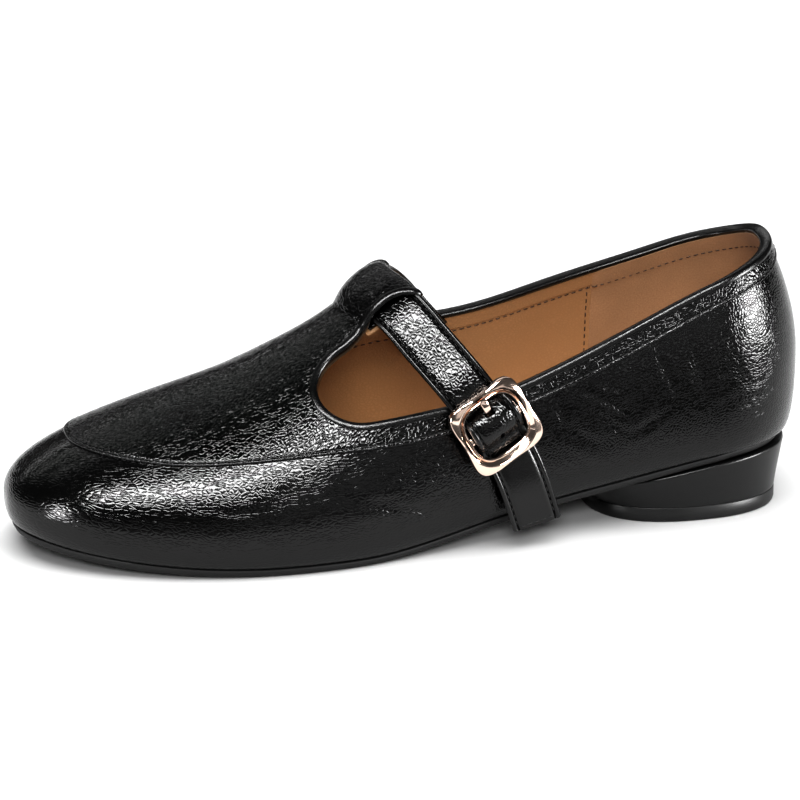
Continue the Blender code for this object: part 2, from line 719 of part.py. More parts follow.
def strap_stations():
    """Underside of the strap along its length: middle, outward direction and place in the buckle."""
    inner = spline(*zip(*STRAP_INNER), None, 0)
    middles, outs = [], []
    for reach in (*STRAP_ROWS_INNER, *np.linspace(-STRAP_LEAVES, STRAP_LEAVES, LOOP_ROWS)):
        middle, _, out = strap_frame(reach)
        middles.append(middle + out * float(inner(reach)))
        outs.append(out)
    centre, along, across, out = buckle_frame_axes()
    runs, heights, shifts = zip(*STRAP_IN_BUCKLE)
    in_buckle = sorted({*np.linspace(runs[0], runs[-1], BUCKLE_ROWS).tolist(), *SLOT})
    end = [centre + along * a + out * float(spline(runs, heights)(a)) + across * float(spline(runs, shifts)(a))
           for a in in_buckle]
    sag = []
    for share in SAG_SHARES:
        way = unit(outs[-1] * (1 - share) + out * share)
        sag.append(middles[-1] * (1 - share) + end[0] * share + way * STRAP_SAG * 4 * share * (1 - share))
    line = np.array(middles + sag + end)
    run = np.concatenate([[0], np.cumsum(np.linalg.norm(np.diff(line, axis=0), axis=1))])
    curve = [spline(run, values) for values in line.T]
    start = len(middles) - 1
    free, free_outs = [], []
    for share in np.linspace(0, 1, FREE_ROWS + 2)[1:-1]:
        at = run[start] * (1 - share) + run[start + len(sag) + 1] * share
        free.append([float(axis(at)) for axis in curve])
        free_outs.append(unit(outs[-1] * (1 - share) + out * share))
    places = [None] * (len(middles) + len(free)) + in_buckle
    return np.array(middles + free + end), np.array(outs + free_outs + [out] * len(end)), places


def make_strap(parent):
    """Strap from inside the inner wall, through the loop and the buckle, to its square tail."""
    middles, outs, places = strap_stations()
    runs = np.gradient(middles, axis=0)
    widths = (-STRAP_HALF, -STRAP_COLUMN, -SLOT_HALF, SLOT_HALF, STRAP_COLUMN, STRAP_HALF)
    sheet = Sheet()
    rows = []
    for middle, run, out in zip(middles, runs, outs):
        across = unit(np.cross(run, out))
        rows.append([sheet.add(middle + across * w, STRAP_THICK) for w in widths])
    slot_cell = widths.index(-SLOT_HALF)
    for first, second, a, b in zip(rows, rows[1:], places, places[1:]):
        in_slot = a is not None and a >= SLOT[0] - 1e-6 and b <= SLOT[1] + 1e-6
        for i in range(len(widths) - 1):
            if not (in_slot and i == slot_cell):
                sheet.faces.append((first[i], first[i + 1], second[i + 1], second[i]))
    points = np.array(sheet.points)
    zero = np.zeros(len(points))
    add_object("strap", *thicken(points, sheet.faces, np.array(sheet.rise), zero), parent)


def frame_outline(angle, long, wide, power, waist):
    """Radius of a rounded square, with sides that pull in by the waist's share."""
    radius = ((abs(math.cos(angle)) / wide) ** power + (abs(math.sin(angle)) / long) ** power) ** (-1 / power)
    return radius * (1 - waist * math.cos(2 * angle) ** 2)


def make_buckle(parent):
    """Cast frame with a centre bar, and the prong that hooks round the bar."""
    centre, along, across, out = buckle_frame_axes()

    def place(a, c, height):
        return centre + along * a + across * c + out * height

    points, faces = [], []
    size = len(FRAME_SECTION)
    for i in range(FRAME_POINTS):
        angle = 2 * math.pi * i / FRAME_POINTS
        big = frame_outline(angle, FRAME_LONG, FRAME_WIDE, FRAME_POWER, FRAME_WAIST)
        small = frame_outline(angle, WINDOW_LONG, WINDOW_WIDE, WINDOW_POWER, 0.0)
        for share, height in FRAME_SECTION:
            radius = big + (small - big) * share
            points.append(place(radius * math.sin(angle), radius * math.cos(angle), FRAME_LOW + height))
    half = FRAME_POINTS // 2
    bar_cells = {side: [(side + k) % FRAME_POINTS for k in (-1, 0)] for side in (0, half)}
    for i in range(FRAME_POINTS):
        k = (i + 1) % FRAME_POINTS
        for s in range(size):
            t = (s + 1) % size
            if s == WINDOW_CELL and any(i in cells for cells in bar_cells.values()):
                continue
            faces.append((i * size + s, k * size + s, k * size + t, i * size + t))
    ends = {}
    for side in (0, half):
        low, mid, high = [(side + k) % FRAME_POINTS * size + WINDOW_CELL for k in (-1, 0, 1)]
        ends[side] = [low, mid, high, high + 1, mid + 1, low + 1]
    first = ends[0]
    second = [ends[half][k] for k in (2, 1, 0, 5, 4, 3)]
    for i in range(6):
        k = (i + 1) % 6
        faces.append((first[i], first[k], second[k], second[i]))
    add_object("buckle_frame", np.array(points), faces, parent)

    path = np.array(PRONG, float)
    runs = np.gradient(path, axis=0)
    points, faces = [], []
    for (a, height), run in zip(path, runs):
        up = unit(np.array([-run[1], run[0]])) * -PRONG_THICK / 2
        for c, sign in ((-PRONG_HALF, -1), (PRONG_HALF, -1), (PRONG_HALF, 1), (-PRONG_HALF, 1)):
            points.append(place(a + up[0] * sign, c, height + up[1] * sign))
    for i in range(len(path) - 1):
        for s in range(4):
            t = (s + 1) % 4
            faces.append((i * 4 + s, i * 4 + t, i * 4 + 4 + t, i * 4 + 4 + s))
    end = len(points) - 4
    faces.append((3, 2, 1, 0))
    faces.append((end, end + 1, end + 2, end + 3))
    add_object("buckle_prong", np.array(points), faces, parent)


def stand_on_origin(root):
    """Moves the shoe so that the middle of its box stands on the origin."""
    corners = np.array([v.co for obj in root.children for v in obj.data.vertices])
    low, high = corners.min(axis=0), corners.max(axis=0)
    root.location = (-(low[0] + high[0]) / 2, -(low[1] + high[1]) / 2, -low[2])


def main():
    for obj in list(bpy.data.objects):
        bpy.data.objects.remove(obj, do_unlink=True)
    root = bpy.data.objects.new("shoe", None)
    bpy.context.scene.collection.objects.link(root)
    make_outsole(root)
    make_heel(root)
    make_insole(root)
    make_upper(root)
    make_strap(root)
    make_buckle(root)
    stand_on_origin(root)
    bpy.context.view_layer.update()


main()
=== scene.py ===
"""Looks of a left T-strap shoe, built piece by piece in millimetres on the shoe's own last."""
import math

import bmesh
import bpy
import numpy as np
from mathutils import Matrix


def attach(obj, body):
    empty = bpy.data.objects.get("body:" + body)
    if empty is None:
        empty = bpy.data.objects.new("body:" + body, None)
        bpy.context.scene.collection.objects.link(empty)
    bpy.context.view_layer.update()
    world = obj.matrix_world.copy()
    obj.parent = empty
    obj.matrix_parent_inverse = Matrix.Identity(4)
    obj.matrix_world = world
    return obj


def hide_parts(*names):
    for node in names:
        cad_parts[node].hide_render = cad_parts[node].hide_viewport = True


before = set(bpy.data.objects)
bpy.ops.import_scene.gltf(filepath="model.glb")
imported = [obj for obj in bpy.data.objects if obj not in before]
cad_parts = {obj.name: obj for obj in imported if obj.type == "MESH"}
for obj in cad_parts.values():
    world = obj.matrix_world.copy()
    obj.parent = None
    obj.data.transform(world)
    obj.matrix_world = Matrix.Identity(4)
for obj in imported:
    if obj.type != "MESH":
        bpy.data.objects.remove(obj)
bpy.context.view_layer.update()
scene = bpy.context.scene

# OUTSOLE
# A thin moulded rubber sole with a fine rand line round its edge and a channel round its underside.
# It is cut to the outline of the last, lifts under the arch and the toe, and is cemented to the upper.
MM = 0.001
ROW_ORIGIN = np.array((124.691, -0.4634, 0.0))    # the row's origin in the last's own millimetres
OUTER, INNER = 1, -1
X_BACK, X_HEEL, X_ARCH_END = 4.0, 34.0, 148.0
X_BALL, X_SPRING, X_TIP = 170.0, 172.0, 246.0
SOLE = 3.0
TOE_SPRING = 6.5
SWING = 4.0
INSTEP_SLOPE = -0.47
SIDE_RUN = X_BALL - X_HEEL
# Rise of the sole above the floor: x, z
LIFT = ((0, 21.5), (30, 19.2), (60, 14.3), (90, 8.8), (120, 2.9), (X_ARCH_END, 0))
# Half sections of the last along its length
SECTION_COLUMNS = ("x", "outer", "inner", "bulge", "bulge_z", "ridge", "side_full", "top_full")
SECTIONS = (
    (X_HEEL, 27.5, 27.5, 3.0, 20, 103.5, 0.62, 0.60),
    (65, 27.5, 26.5, 3.0, 18, 98.0, 0.60, 0.60),
    (95, 28.3, 22.0, 3.0, 16, 93.0, 0.58, 0.58),
    (125, 33.5, 26.0, 2.5, 14, 84.5, 0.50, 0.50),
    (150, 39.0, 34.0, 2.0, 12, 66.4, 0.50, 0.50),
    (X_BALL, 40.5, 38.0, 2.0, 11, 56.0, 0.50, 0.50),
)
HEEL_END = dict(reach=X_HEEL - X_BACK, way=-1, power={OUTER: 2.15, INNER: 2.15},
                bulge=2.6, bulge_z=24, side_full=0.36, top_full=0.60, slope=-0.10)
TOE_END = dict(reach=X_TIP - X_BALL, way=1, power={OUTER: 1.92, INNER: 2.55},
               bulge=2.0, bulge_z=7.5, side_full=0.45, top_full=0.33, slope=INSTEP_SLOPE)
# Edge of the sole from the middle of its underside: inset from the upper, height above the underside
SOLE_EDGE = ((7.2, 0), (6.8, 0.3), (5.6, 0.3), (5.2, 0), (2.2, 0), (1.5, 0.1), (0.95, 0.4),
             (0.55, 0.85), (0.25, 1.4), (0.05, 2.0), (0.1, 2.4), (0.45, 2.65), (3.0, 2.7))
WAIST_INSET = 1.5        # the edge draws in this far between the upper and the heel


def spline(xs, ys, start=None, end=None):
    """Cubic curve through the rows; start and end are slopes, or None to let that end run free."""
    xs = np.asarray(xs, float)
    ys = np.asarray(ys, float)
    steps = np.diff(xs)
    count = len(xs)
    matrix = np.zeros((count, count))
    right = np.zeros(count)
    for row, beside, slope in ((0, 1, start), (-1, -2, end)):
        free = slope is None
        matrix[row, row] = 2.0 if free else 1.0
        matrix[row, beside] = 1.0 if free else 0.0
        right[row] = 3 * (ys[beside] - ys[row]) / (xs[beside] - xs[row]) if free else slope
    for i in range(1, count - 1):
        matrix[i, i - 1] = 1 / steps[i - 1]
        matrix[i, i] = 2 / steps[i - 1] + 2 / steps[i]
        matrix[i, i + 1] = 1 / steps[i]
        right[i] = 3 * ((ys[i] - ys[i - 1]) / steps[i - 1] ** 2 + (ys[i + 1] - ys[i]) / steps[i] ** 2)
    slopes = np.linalg.solve(matrix, right)

    def value(x):
        x = np.clip(np.asarray(x, float), xs[0], xs[-1])
        i = np.clip(np.searchsorted(xs, x) - 1, 0, count - 2)
        t = (x - xs[i]) / steps[i]
        return ((1 + 2 * t) * (1 - t) ** 2 * ys[i] + t * (1 - t) ** 2 * steps[i] * slopes[i]
                + t * t * (3 - 2 * t) * ys[i + 1] + t * t * (t - 1) * steps[i] * slopes[i + 1])
    return value


section_rows = dict(zip(SECTION_COLUMNS, zip(*SECTIONS)))
section_ends = {"outer": (0, 0), "inner": (0, 0), "ridge": (None, INSTEP_SLOPE)}
SECTION = {name: spline(section_rows["x"], section_rows[name], *section_ends.get(name, (None, None)))
           for name in SECTION_COLUMNS[1:]}
LIFT_CURVE = spline(*zip(*LIFT), None, 0)


def sole_rise(x):
    """Height of the sole's underside."""
    toe = np.maximum((np.asarray(x, float) - X_SPRING) / (X_TIP - X_SPRING), 0)
    return LIFT_CURVE(x) + TOE_SPRING * toe ** 2


def swing(x):
    """Sideways place of the last's middle line."""
    return -SWING * ((np.asarray(x, float) - X_HEEL) / (X_TIP - X_HEEL)) ** 2


def fan_turn(station):
    """Cosine and sine of a station's turn round the heel or the toe; 0 and 1 along the sides."""
    if 0 <= station <= 1:
        return 0.0, 1.0
    angle = (1 + station if station < 0 else 2 - station) * math.pi / 2
    return math.cos(angle), math.sin(angle)


def half_section(station, side):
    """Sizes of half a section: station -1 is the back of the heel, 0 to 1 heel to ball, 2 the toe's tip."""
    end = HEEL_END if station < 0 else TOE_END
    pole = float(np.clip(X_HEEL + SIDE_RUN * station, X_HEEL, X_BALL))
    cos, sin = fan_turn(station)
    wide = float(SECTION["outer" if side == OUTER else "inner"](pole))
    power = end["power"][side]
    sizes = {key: float(SECTION[key](pole)) * sin ** 2 + end[key] * cos ** 2
             for key in ("bulge", "bulge_z", "side_full", "top_full")}
    sizes["reach"] = ((cos / end["reach"]) ** power + (sin / wide) ** power) ** (-1 / power)
    sizes["oval"] = ((cos / end["reach"]) ** 2 + (sin / wide) ** 2) ** -0.5
    sizes["slope"] = end["slope"] * cos
    sizes["side_share"] = sin ** 4
    sizes["ridge"] = float(SECTION["ridge"](pole))
    sizes["pole"] = pole
    sizes["way"] = np.array([end["way"] * cos, side * sin])
    return sizes


def sole_point(station, side, inset, height):
    """Point in from the upper's lower edge, and above the sole's underside."""
    s = half_section(station, side)
    x, y = np.array([s["pole"], 0]) + s["way"] * (s["reach"] - inset)
    return np.array([x, y + float(swing(x)), float(sole_rise(x)) + height])


def sole_ring(inset, height, stations, waist=0.0):
    """Closed ring round the sole, from the back of the heel over the inner side to the toe and back."""
    insets = inset + waist * np.clip(0.5 - np.asarray(stations) / 0.3, 0, 1)
    points = [sole_point(s, INNER, i, height) for s, i in zip(stations, insets)]
    points += [sole_point(s, OUTER, i, height) for s, i in zip(stations[-2:0:-1], insets[-2:0:-1])]
    return np.array(points)


def loft(rings):
    """Closed solid from rings of equal length, bottom to top, with strips across both ends."""
    count = len(rings[0])
    faces = []
    for low in range(0, (len(rings) - 1) * count, count):
        for i in range(count):
            k = (i + 1) % count
            faces.append((low + i, low + k, low + count + k, low + count + i))
    last = (len(rings) - 1) * count
    for i in range(count // 2):
        strip = list(dict.fromkeys([i, i + 1, count - 1 - i, (count - i) % count]))
        if len(strip) > 2:
            faces.append(tuple(reversed(strip)))
            faces.append(tuple(last + k for k in strip))
    return np.vstack(rings), faces


def add_piece(name, points, faces, material, cut=None, sharp=50):
    """Makes a smooth piece from points in mm on the last; cut is each point's place on the flat leather."""
    mesh = bpy.data.meshes.new(name)
    places = ((np.asarray(points) - ROW_ORIGIN) * MM).tolist()
    mesh.from_pydata(places, [], [tuple(map(int, face)) for face in faces])
    if cut is None:
        cut = np.asarray(points)
    flat = np.zeros((len(points), 3), np.float32)
    flat[:, :np.shape(cut)[1]] = cut
    mesh.attributes.new("cut_mm", "FLOAT_VECTOR", "POINT").data.foreach_set("vector", flat.ravel())
    mesh.validate()
    shell = bmesh.new()
    shell.from_mesh(mesh)
    bmesh.ops.recalc_face_normals(shell, faces=shell.faces)
    shell.to_mesh(mesh)
    shell.free()
    mesh.shade_smooth()
    mesh.set_sharp_from_angle(angle=math.radians(sharp))
    mesh.materials.append(material)
    piece = bpy.data.objects.new(name, mesh)
    scene.collection.objects.link(piece)
    return piece


def hex_colour(text):
    """Linear colour from an sRGB hex value."""
    parts = [int(text[i:i + 2], 16) / 255 for i in (1, 3, 5)]
    return tuple(c / 12.92 if c <= 0.04045 else ((c + 0.055) / 1.055) ** 2.4 for c in parts) + (1.0,)


def add_node(tree, kind, inputs=(), **settings):
    """Adds a shader node with its settings; inputs holds plain values, or sockets to link from."""
    node = tree.nodes.new("ShaderNode" + kind)
    for name, value in settings.items():
        setattr(node, name, value)
    for name, value in dict(inputs).items():
        if isinstance(value, bpy.types.NodeSocket):
            tree.links.new(value, node.inputs[name])
        else:
            node.inputs[name].default_value = value
    return node


def start_material(name, values):
    """New material with those values on its shader; returns it, its node tree and the shader."""
    material = bpy.data.materials.new(name)
    material.use_nodes = True
    shader = material.node_tree.nodes["Principled BSDF"]
    for key, value in values.items():
        shader.inputs[key].default_value = value
    return material, material.node_tree, shader


def speckled(name, dark, light, speck_mm, depth_mm, rough, values):
    """Moulded or napped material: fine specks change its colour and roughness and make its bump."""
    material, tree, shader = start_material(name, values)
    place = add_node(tree, "Attribute", attribute_name="cut_mm").outputs["Vector"]
    specks = add_node(tree, "TexNoise", {"Vector": place, "Scale": 1 / speck_mm, "Detail": 3.0,
                                         "Roughness": 0.6})
    clouds = add_node(tree, "TexNoise", {"Vector": place, "Scale": 0.06, "Detail": 2.0})
    tone = add_node(tree, "Math", {0: specks.outputs["Fac"], 1: clouds.outputs["Fac"]}, operation="MULTIPLY")
    share = add_node(tree, "MapRange", {"Value": tone.outputs[0], "From Min": 0.12, "From Max": 0.42})
    colour = add_node(tree, "Mix", {"Factor": share.outputs[0], 6: hex_colour(dark), 7: hex_colour(light)},
                      data_type="RGBA")
    shine = add_node(tree, "MapRange", {"Value": clouds.outputs["Fac"], "From Min": 0.3, "From Max": 0.7,
                                        "To Min": rough[0], "To Max": rough[1]})
    bump = add_node(tree, "Bump", {"Height": specks.outputs["Fac"], "Strength": 1.0,
                                   "Distance": depth_mm * MM})
    tree.links.new(colour.outputs[2], shader.inputs["Base Color"])
    tree.links.new(shine.outputs[0], shader.inputs["Roughness"])
    tree.links.new(bump.outputs[0], shader.inputs["Normal"])
    return material


def even_stations(heel, side, toe):
    """Stations along half of the sole's edge, with the counts on the heel, the side and the toe."""
    return np.concatenate([np.linspace(-1, 0, heel), np.linspace(0, 1, side)[1:],
                           np.linspace(1, 2, toe)[1:]])


# Moulded rubber: matt black, with a fine dull speckle where it left the mould
moulded_rubber = speckled("moulded_rubber", "#020202", "#050505", 0.9, 0.03, (0.5, 0.62), {"IOR": 1.47})
SOLE_STATIONS = even_stations(30, 60, 60)
sole_rings = [sole_ring(*row, SOLE_STATIONS, WAIST_INSET) for row in SOLE_EDGE]
outsole = add_piece("sole", *loft(sole_rings), moulded_rubber, sharp=40)
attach(outsole, "root")
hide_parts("outsole")

# HEEL BLOCK
# A low block with a round breast, moulded in plastic and lacquered black.
# It is cupped on top to the curve of the sole and nailed to it from inside.
HEEL_TOP = dict(middle=41.0, half_long=36.5, half_wide=26.6)
HEEL_FOOT = dict(middle=37.6, half_long=30.3, half_wide=24.6)
HEEL_POWER = 2.35
HEEL_POINTS = 160
HEEL_FLARE = 1.15
HEEL_SEAT = 0.45
HEEL_ROUND = 1.0
TOP_LIFT = 4.6
LIFT_GAP = 0.14
# Share of the way from the foot to the top, inset from the outline there
HEEL_LEVELS = ((0.0, 0.6), (0.0, 0.06), (0.01, 0.0), *((share, 0.0) for share in np.linspace(0.06, 0.93, 20)),
               (0.96, 0.12), (0.985, 0.4), (1.0, HEEL_ROUND))


def heel_outline(share, inset=0.0):
    """Outline of the heel between its foot (0) and its top (1)."""
    size = {key: HEEL_FOOT[key] * (1 - share) + HEEL_TOP[key] * share for key in HEEL_FOOT}
    turn = np.linspace(0, 2 * math.pi, HEEL_POINTS, endpoint=False)
    power = 2 / HEEL_POWER
    x = size["middle"] - (size["half_long"] - inset) * np.sign(np.cos(turn)) * np.abs(np.cos(turn)) ** power
    y = -(size["half_wide"] - inset) * np.sign(np.sin(turn)) * np.abs(np.sin(turn)) ** power
    return np.column_stack([x, y])


heel_rings = []
heel_base = TOP_LIFT + LIFT_GAP
for heel_share, heel_inset in HEEL_LEVELS:
    outline = heel_outline(heel_share ** HEEL_FLARE, heel_inset)
    seat = sole_rise(outline[:, 0]) - HEEL_SEAT
    heel_rings.append(np.column_stack([outline, heel_base + (seat - heel_base) * heel_share]))
# Lacquered plastic: satin black that shows soft reflections with a slight orange peel
heel_lacquer = speckled("heel_lacquer", "#020202", "#060606", 2.6, 0.012, (0.28, 0.36), {"IOR": 1.46})
heel_block = add_piece("heel", *loft(heel_rings), heel_lacquer, sharp=40)
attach(heel_block, "root")
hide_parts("heel_block")

# TOP LIFT
# The layer under the heel that wears and is renewed, cut from hard rubber sheet.
# It is nailed under the block, with a fine shadow line between the two.
LIFT_EDGE = ((0.0, 1.1), (0.12, 0.55), (0.45, 0.15), (1.0, 0.0), (TOP_LIFT - 0.1, 0.0), (TOP_LIFT, 0.06),
             (TOP_LIFT + 0.12, 0.6))
lift_rings = [np.column_stack([heel_outline(0.0, inset), np.full(HEEL_POINTS, z)]) for z, inset in LIFT_EDGE]
# Hard rubber sheet: duller than the block, sanded flush on its edge
hard_rubber = speckled("hard_rubber", "#030303", "#080808", 0.7, 0.02, (0.36, 0.44), {"IOR": 1.47})
top_lift = add_piece("heel_lift", *loft(lift_rings), hard_rubber, sharp=40)
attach(top_lift, "root")
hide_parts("top_lift")

# INSOLE
# A sock of thin tan leather over a soft board, glued to the sole inside the shoe.
# Its edge meets the lining all round, and its surface dips a little towards the middle.
INSOLE_LOW = 3.15
INSOLE_TOP = 4.95
INSOLE_INSET = 2.6
INSOLE_RINGS = ((0.0, INSOLE_LOW), (-1.4, INSOLE_TOP - 0.6), (-1.75, INSOLE_TOP - 0.2), (-1.4, INSOLE_TOP),
                (3.0, INSOLE_TOP + 0.05), (7.0, INSOLE_TOP - 0.1), (13.0, INSOLE_TOP - 0.3))


def leather(name, dark, light, grain_mm, stretch, grain_depth, crinkle_mm, crinkle_depth, rough, values):
    """Grained leather: pebbles of a size and stretch, and longer crinkles, as bump in mm."""
    material, tree, shader = start_material(name, values)
    place = add_node(tree, "Attribute", attribute_name="cut_mm").outputs["Vector"]
    drift = add_node(tree, "TexNoise", {"Vector": place, "Scale": 0.22, "Detail": 2.0}, noise_dimensions="2D")
    pulled = add_node(tree, "VectorMath", {0: drift.outputs["Color"], 1: (2.6, 2.6, 0.0), 2: place},
                      operation="MULTIPLY_ADD")
    cells = add_node(tree, "Mapping", {"Vector": pulled.outputs[0],
                                       "Scale": (1 / (grain_mm * stretch), 1 / grain_mm, 1.0)})
    pebbles = add_node(tree, "TexVoronoi", {"Vector": cells.outputs[0], "Scale": 1.0},
                       feature="DISTANCE_TO_EDGE", voronoi_dimensions="2D")
    tops = add_node(tree, "MapRange", {"Value": pebbles.outputs["Distance"], "From Max": 0.18, "To Max": 0.5},
                    interpolation_type="SMOOTHSTEP")
    domes = add_node(tree, "MapRange", {"Value": pebbles.outputs["Distance"], "From Max": 0.5, "To Max": 0.5},
                     interpolation_type="SMOOTHERSTEP")
    pillows = add_node(tree, "Math", {0: tops.outputs[0], 1: domes.outputs[0]}, operation="ADD")
    folds = add_node(tree, "Mapping", {"Vector": pulled.outputs[0],
                                       "Scale": (1 / crinkle_mm[0], 1 / crinkle_mm[1], 1.0)})
    crinkles = add_node(tree, "TexNoise", {"Vector": folds.outputs[0], "Scale": 1.0, "Detail": 3.0,
                                           "Roughness": 0.6, "Distortion": 0.4}, noise_dimensions="2D")
    clouds = add_node(tree, "TexNoise", {"Vector": place, "Scale": 0.05, "Detail": 2.0},
                      noise_dimensions="2D")
    full = add_node(tree, "MapRange", {"Value": clouds.outputs["Fac"], "From Min": 0.35, "From Max": 0.65,
                                       "To Min": 0.92 * grain_depth, "To Max": grain_depth})
    grain = add_node(tree, "Math", {0: pillows.outputs[0], 1: full.outputs[0]}, operation="MULTIPLY")
    height = add_node(tree, "Math", {0: crinkles.outputs["Fac"], 1: crinkle_depth, 2: grain.outputs[0]},
                      operation="MULTIPLY_ADD")
    bump = add_node(tree, "Bump", {"Height": height.outputs[0], "Strength": 1.0, "Distance": MM})
    tone = add_node(tree, "Math", {0: domes.outputs[0], 1: clouds.outputs["Fac"]}, operation="MULTIPLY")
    colour = add_node(tree, "Mix", {"Factor": tone.outputs[0], 6: hex_colour(dark), 7: hex_colour(light)},
                      data_type="RGBA")
    shine = add_node(tree, "MapRange", {"Value": clouds.outputs["Fac"], "From Min": 0.3, "From Max": 0.7,
                                        "To Min": rough[0], "To Max": rough[1]})
    tree.links.new(colour.outputs[2], shader.inputs["Base Color"])
    tree.links.new(shine.outputs[0], shader.inputs["Roughness"])
    for socket in ("Normal", "Coat Normal"):
        tree.links.new(bump.outputs[0], shader.inputs[socket])
    return material


# Tan sock leather: aniline dyed, matt, with a fine even grain
sock_leather = leather("sock_leather", "#cda882", "#dcb893", 0.9, 1.2, 0.025, (7.0, 3.0), 0.1, (0.46, 0.56),
                       {"IOR": 1.5})
insole = add_piece("sock", *loft([sole_ring(INSOLE_INSET + inset, height, SOLE_STATIONS)
                                  for inset, height in INSOLE_RINGS]), sock_leather, sharp=60)
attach(insole, "root")
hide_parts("insole")

# LINING
# Thin tan leather inside the whole upper, with a turned facing strip sewn along the topline.
# It is stitched to the outer leather at the opening and cemented under the sock.
FEATHER_OUT, FEATHER_UP, BULGE_PULL = 0.75, 0.12, 0.5
FOOT_POINTS, HEAD_POINTS = 50, 140
HEEL_RUN, TOE_RUN = 46.0, 95.0
# Girth from the sole's edge up to the topline: run round the edge, outer, inner
TOPLINE = ((0, 62.2, 62.2), (23, 60.4, 57.8), (46, 56.0, 53.4), (87, 45.3, 51.2), (121, 40.3, 51.8),
           (135, 41.1, 53.6), (148, 41.8, 53.2), (160, 41.9, 49.5), (175, 41.5, 46.0))
# Girth up to the edge of the apron and the collar band
SEAM = ((0, 57.0, 57.0), (23, 53.8, 53.5), (46, 48.6, 48.6), (94, 36.2, 44.3), (134, 33.2, 42.6),
        (162, 34.2, 39.8), (182, 33.8, 36.6), (210, 33.0, 33.6), (239, 32.6, 32.6), (277, 35.0, 35.0))
X_BOW, BOW_FROM_RIDGE = 158.6, 27.0
BOW_LOW_RUN, BOW_BAR_RUN = 14.0, 9.0
BAR_HALF, NECK_IN = 17.8, 1.9    # half width of the T-bar, and how much it narrows up to the loop
X_STRAP, STRAP_FALL, STRAP_ROUND = 137.0, {OUTER: 0.54, INNER: 0.66}, 10.0
LOOP_NECK, RIDGE_COS = 12.0, 0.8
BAR_LONG = X_BOW - X_STRAP - LOOP_NECK * RIDGE_COS    # length of the T-bar from the bow to the loop
NECK_FROM = 6.5          # the T-bar starts to narrow this far behind the bow
BAND_STEP = 0.9          # the apron and the band stand this far above the vamp
LINING_OUT, LINING_IN = -0.95, -1.7
FACING, FACING_STEP = 6.2, 0.3
BAR_SHARES = np.linspace(0, 1, 25)
BOW_TURNS = np.linspace(0, math.pi / 2, 22)


def bezier(corners, count):
    t = np.linspace(0, 1, count)[:, None]
    a, b, c, d = np.asarray(corners, float)
    return (1 - t) ** 3 * a + 3 * t * (1 - t) ** 2 * b + 3 * t * t * (1 - t) * c + t ** 3 * d


def run_along(points):
    """Length along a line up to each of its points."""
    return np.concatenate([[0], np.cumsum(np.linalg.norm(np.diff(points, axis=0), axis=1))])


ribs = {}


def rib(station, side):
    """Points of a half section from the sole's edge to the ridge, and the girth up to each."""
    if (station, side) in ribs:
        return ribs[station, side]
    s = half_section(station, side)
    out = s["reach"] + s["bulge"]
    low = SOLE + float(sole_rise(s["pole"] + s["way"][0] * s["reach"]))
    mid = low + s["bulge_z"]
    high = s["ridge"] - mid
    top = s["top_full"] * s["oval"]
    foot = bezier([(s["reach"], low),
                   (s["reach"] + FEATHER_OUT * s["bulge"], low + FEATHER_UP * s["bulge_z"]),
                   (out, mid - BULGE_PULL * s["bulge_z"]), (out, mid)], FOOT_POINTS)
    shoulder = high + s["slope"] * out * s["side_share"]
    head = bezier([(out, mid), (out, mid + s["side_full"] * shoulder),
                   (top, s["ridge"] + s["slope"] * top), (0, s["ridge"])], HEAD_POINTS)
    curve = np.vstack([foot, head[1:]])
    points = np.empty((len(curve), 3))
    points[:, 0] = s["pole"] + s["way"][0] * curve[:, 0]
    points[:, 1] = s["way"][1] * curve[:, 0] + swing(points[:, 0])
    points[:, 2] = curve[:, 1]
    girth = run_along(points)
    ribs[station, side] = points, girth
    return points, girth


def full_girth(station, side):
    return rib(station, side)[1][-1]


def on_last(station, side, girth):
    """Point of the last's surface, by its station and its girth from the sole's edge."""
    points, girths = rib(station, side)
    return np.array([np.interp(girth, girths, points[:, k]) for k in range(3)])


def from_ridge(x, reach):
    """Point of the last's surface, by X and its girth from the ridge (inner side negative)."""
    side = OUTER if reach >= 0 else INNER
    station = (x - X_HEEL) / SIDE_RUN
    return on_last(station, side, full_girth(station, side) - abs(reach))


def edge_run(station):
    """Run round the sole's edge from the back of the heel."""
    return float(np.interp(station, (-1, 0, 1, 2), np.cumsum((0, HEEL_RUN, SIDE_RUN, TOE_RUN))))


def edge_curves(rows, end):
    run, outer, inner = zip(*rows)
    return {OUTER: spline(run, outer, 0, end), INNER: spline(run, inner, 0, end)}


TOPLINE_CURVE = edge_curves(TOPLINE, None)
SEAM_CURVE = edge_curves(SEAM, 0)
BOW_STATION = (X_BOW - X_HEEL) / SIDE_RUN
BOW_START = BOW_STATION - BOW_LOW_RUN / SIDE_RUN


def seam_line(station, side):
    return float(SEAM_CURVE[side](edge_run(station)))


def round_off(distance, run):
    """Falls from 1 to 0 over the run, along a quarter of an oval."""
    left = 1 - np.clip(distance / run, 0, 1)
    return 1 - math.sqrt(1 - left ** 2)


def opening_edge(station, side):
    """Girth of the topline, or of the row that carries it on over the vamp."""
    tip_girth = full_girth(BOW_STATION, side) - BOW_FROM_RIDGE
    if station <= BOW_STATION:
        bow = tip_girth - float(TOPLINE_CURVE[side](edge_run(BOW_STATION)))
        topline = float(TOPLINE_CURVE[side](edge_run(station)))
        return topline + bow * round_off((BOW_STATION - station) * SIDE_RUN, BOW_LOW_RUN)
    seam = seam_line(BOW_STATION, side)
    share = (tip_girth - seam) / (full_girth(BOW_STATION, side) - seam)
    seam = seam_line(station, side)
    return seam + share * (full_girth(station, side) - seam)


def strap_fall(reach):
    """How far the strap and the end of the T-bar fall back, by girth from the ridge (inner side negative)."""
    return STRAP_FALL[OUTER if reach >= 0 else INNER] * (math.hypot(reach, STRAP_ROUND) - STRAP_ROUND)


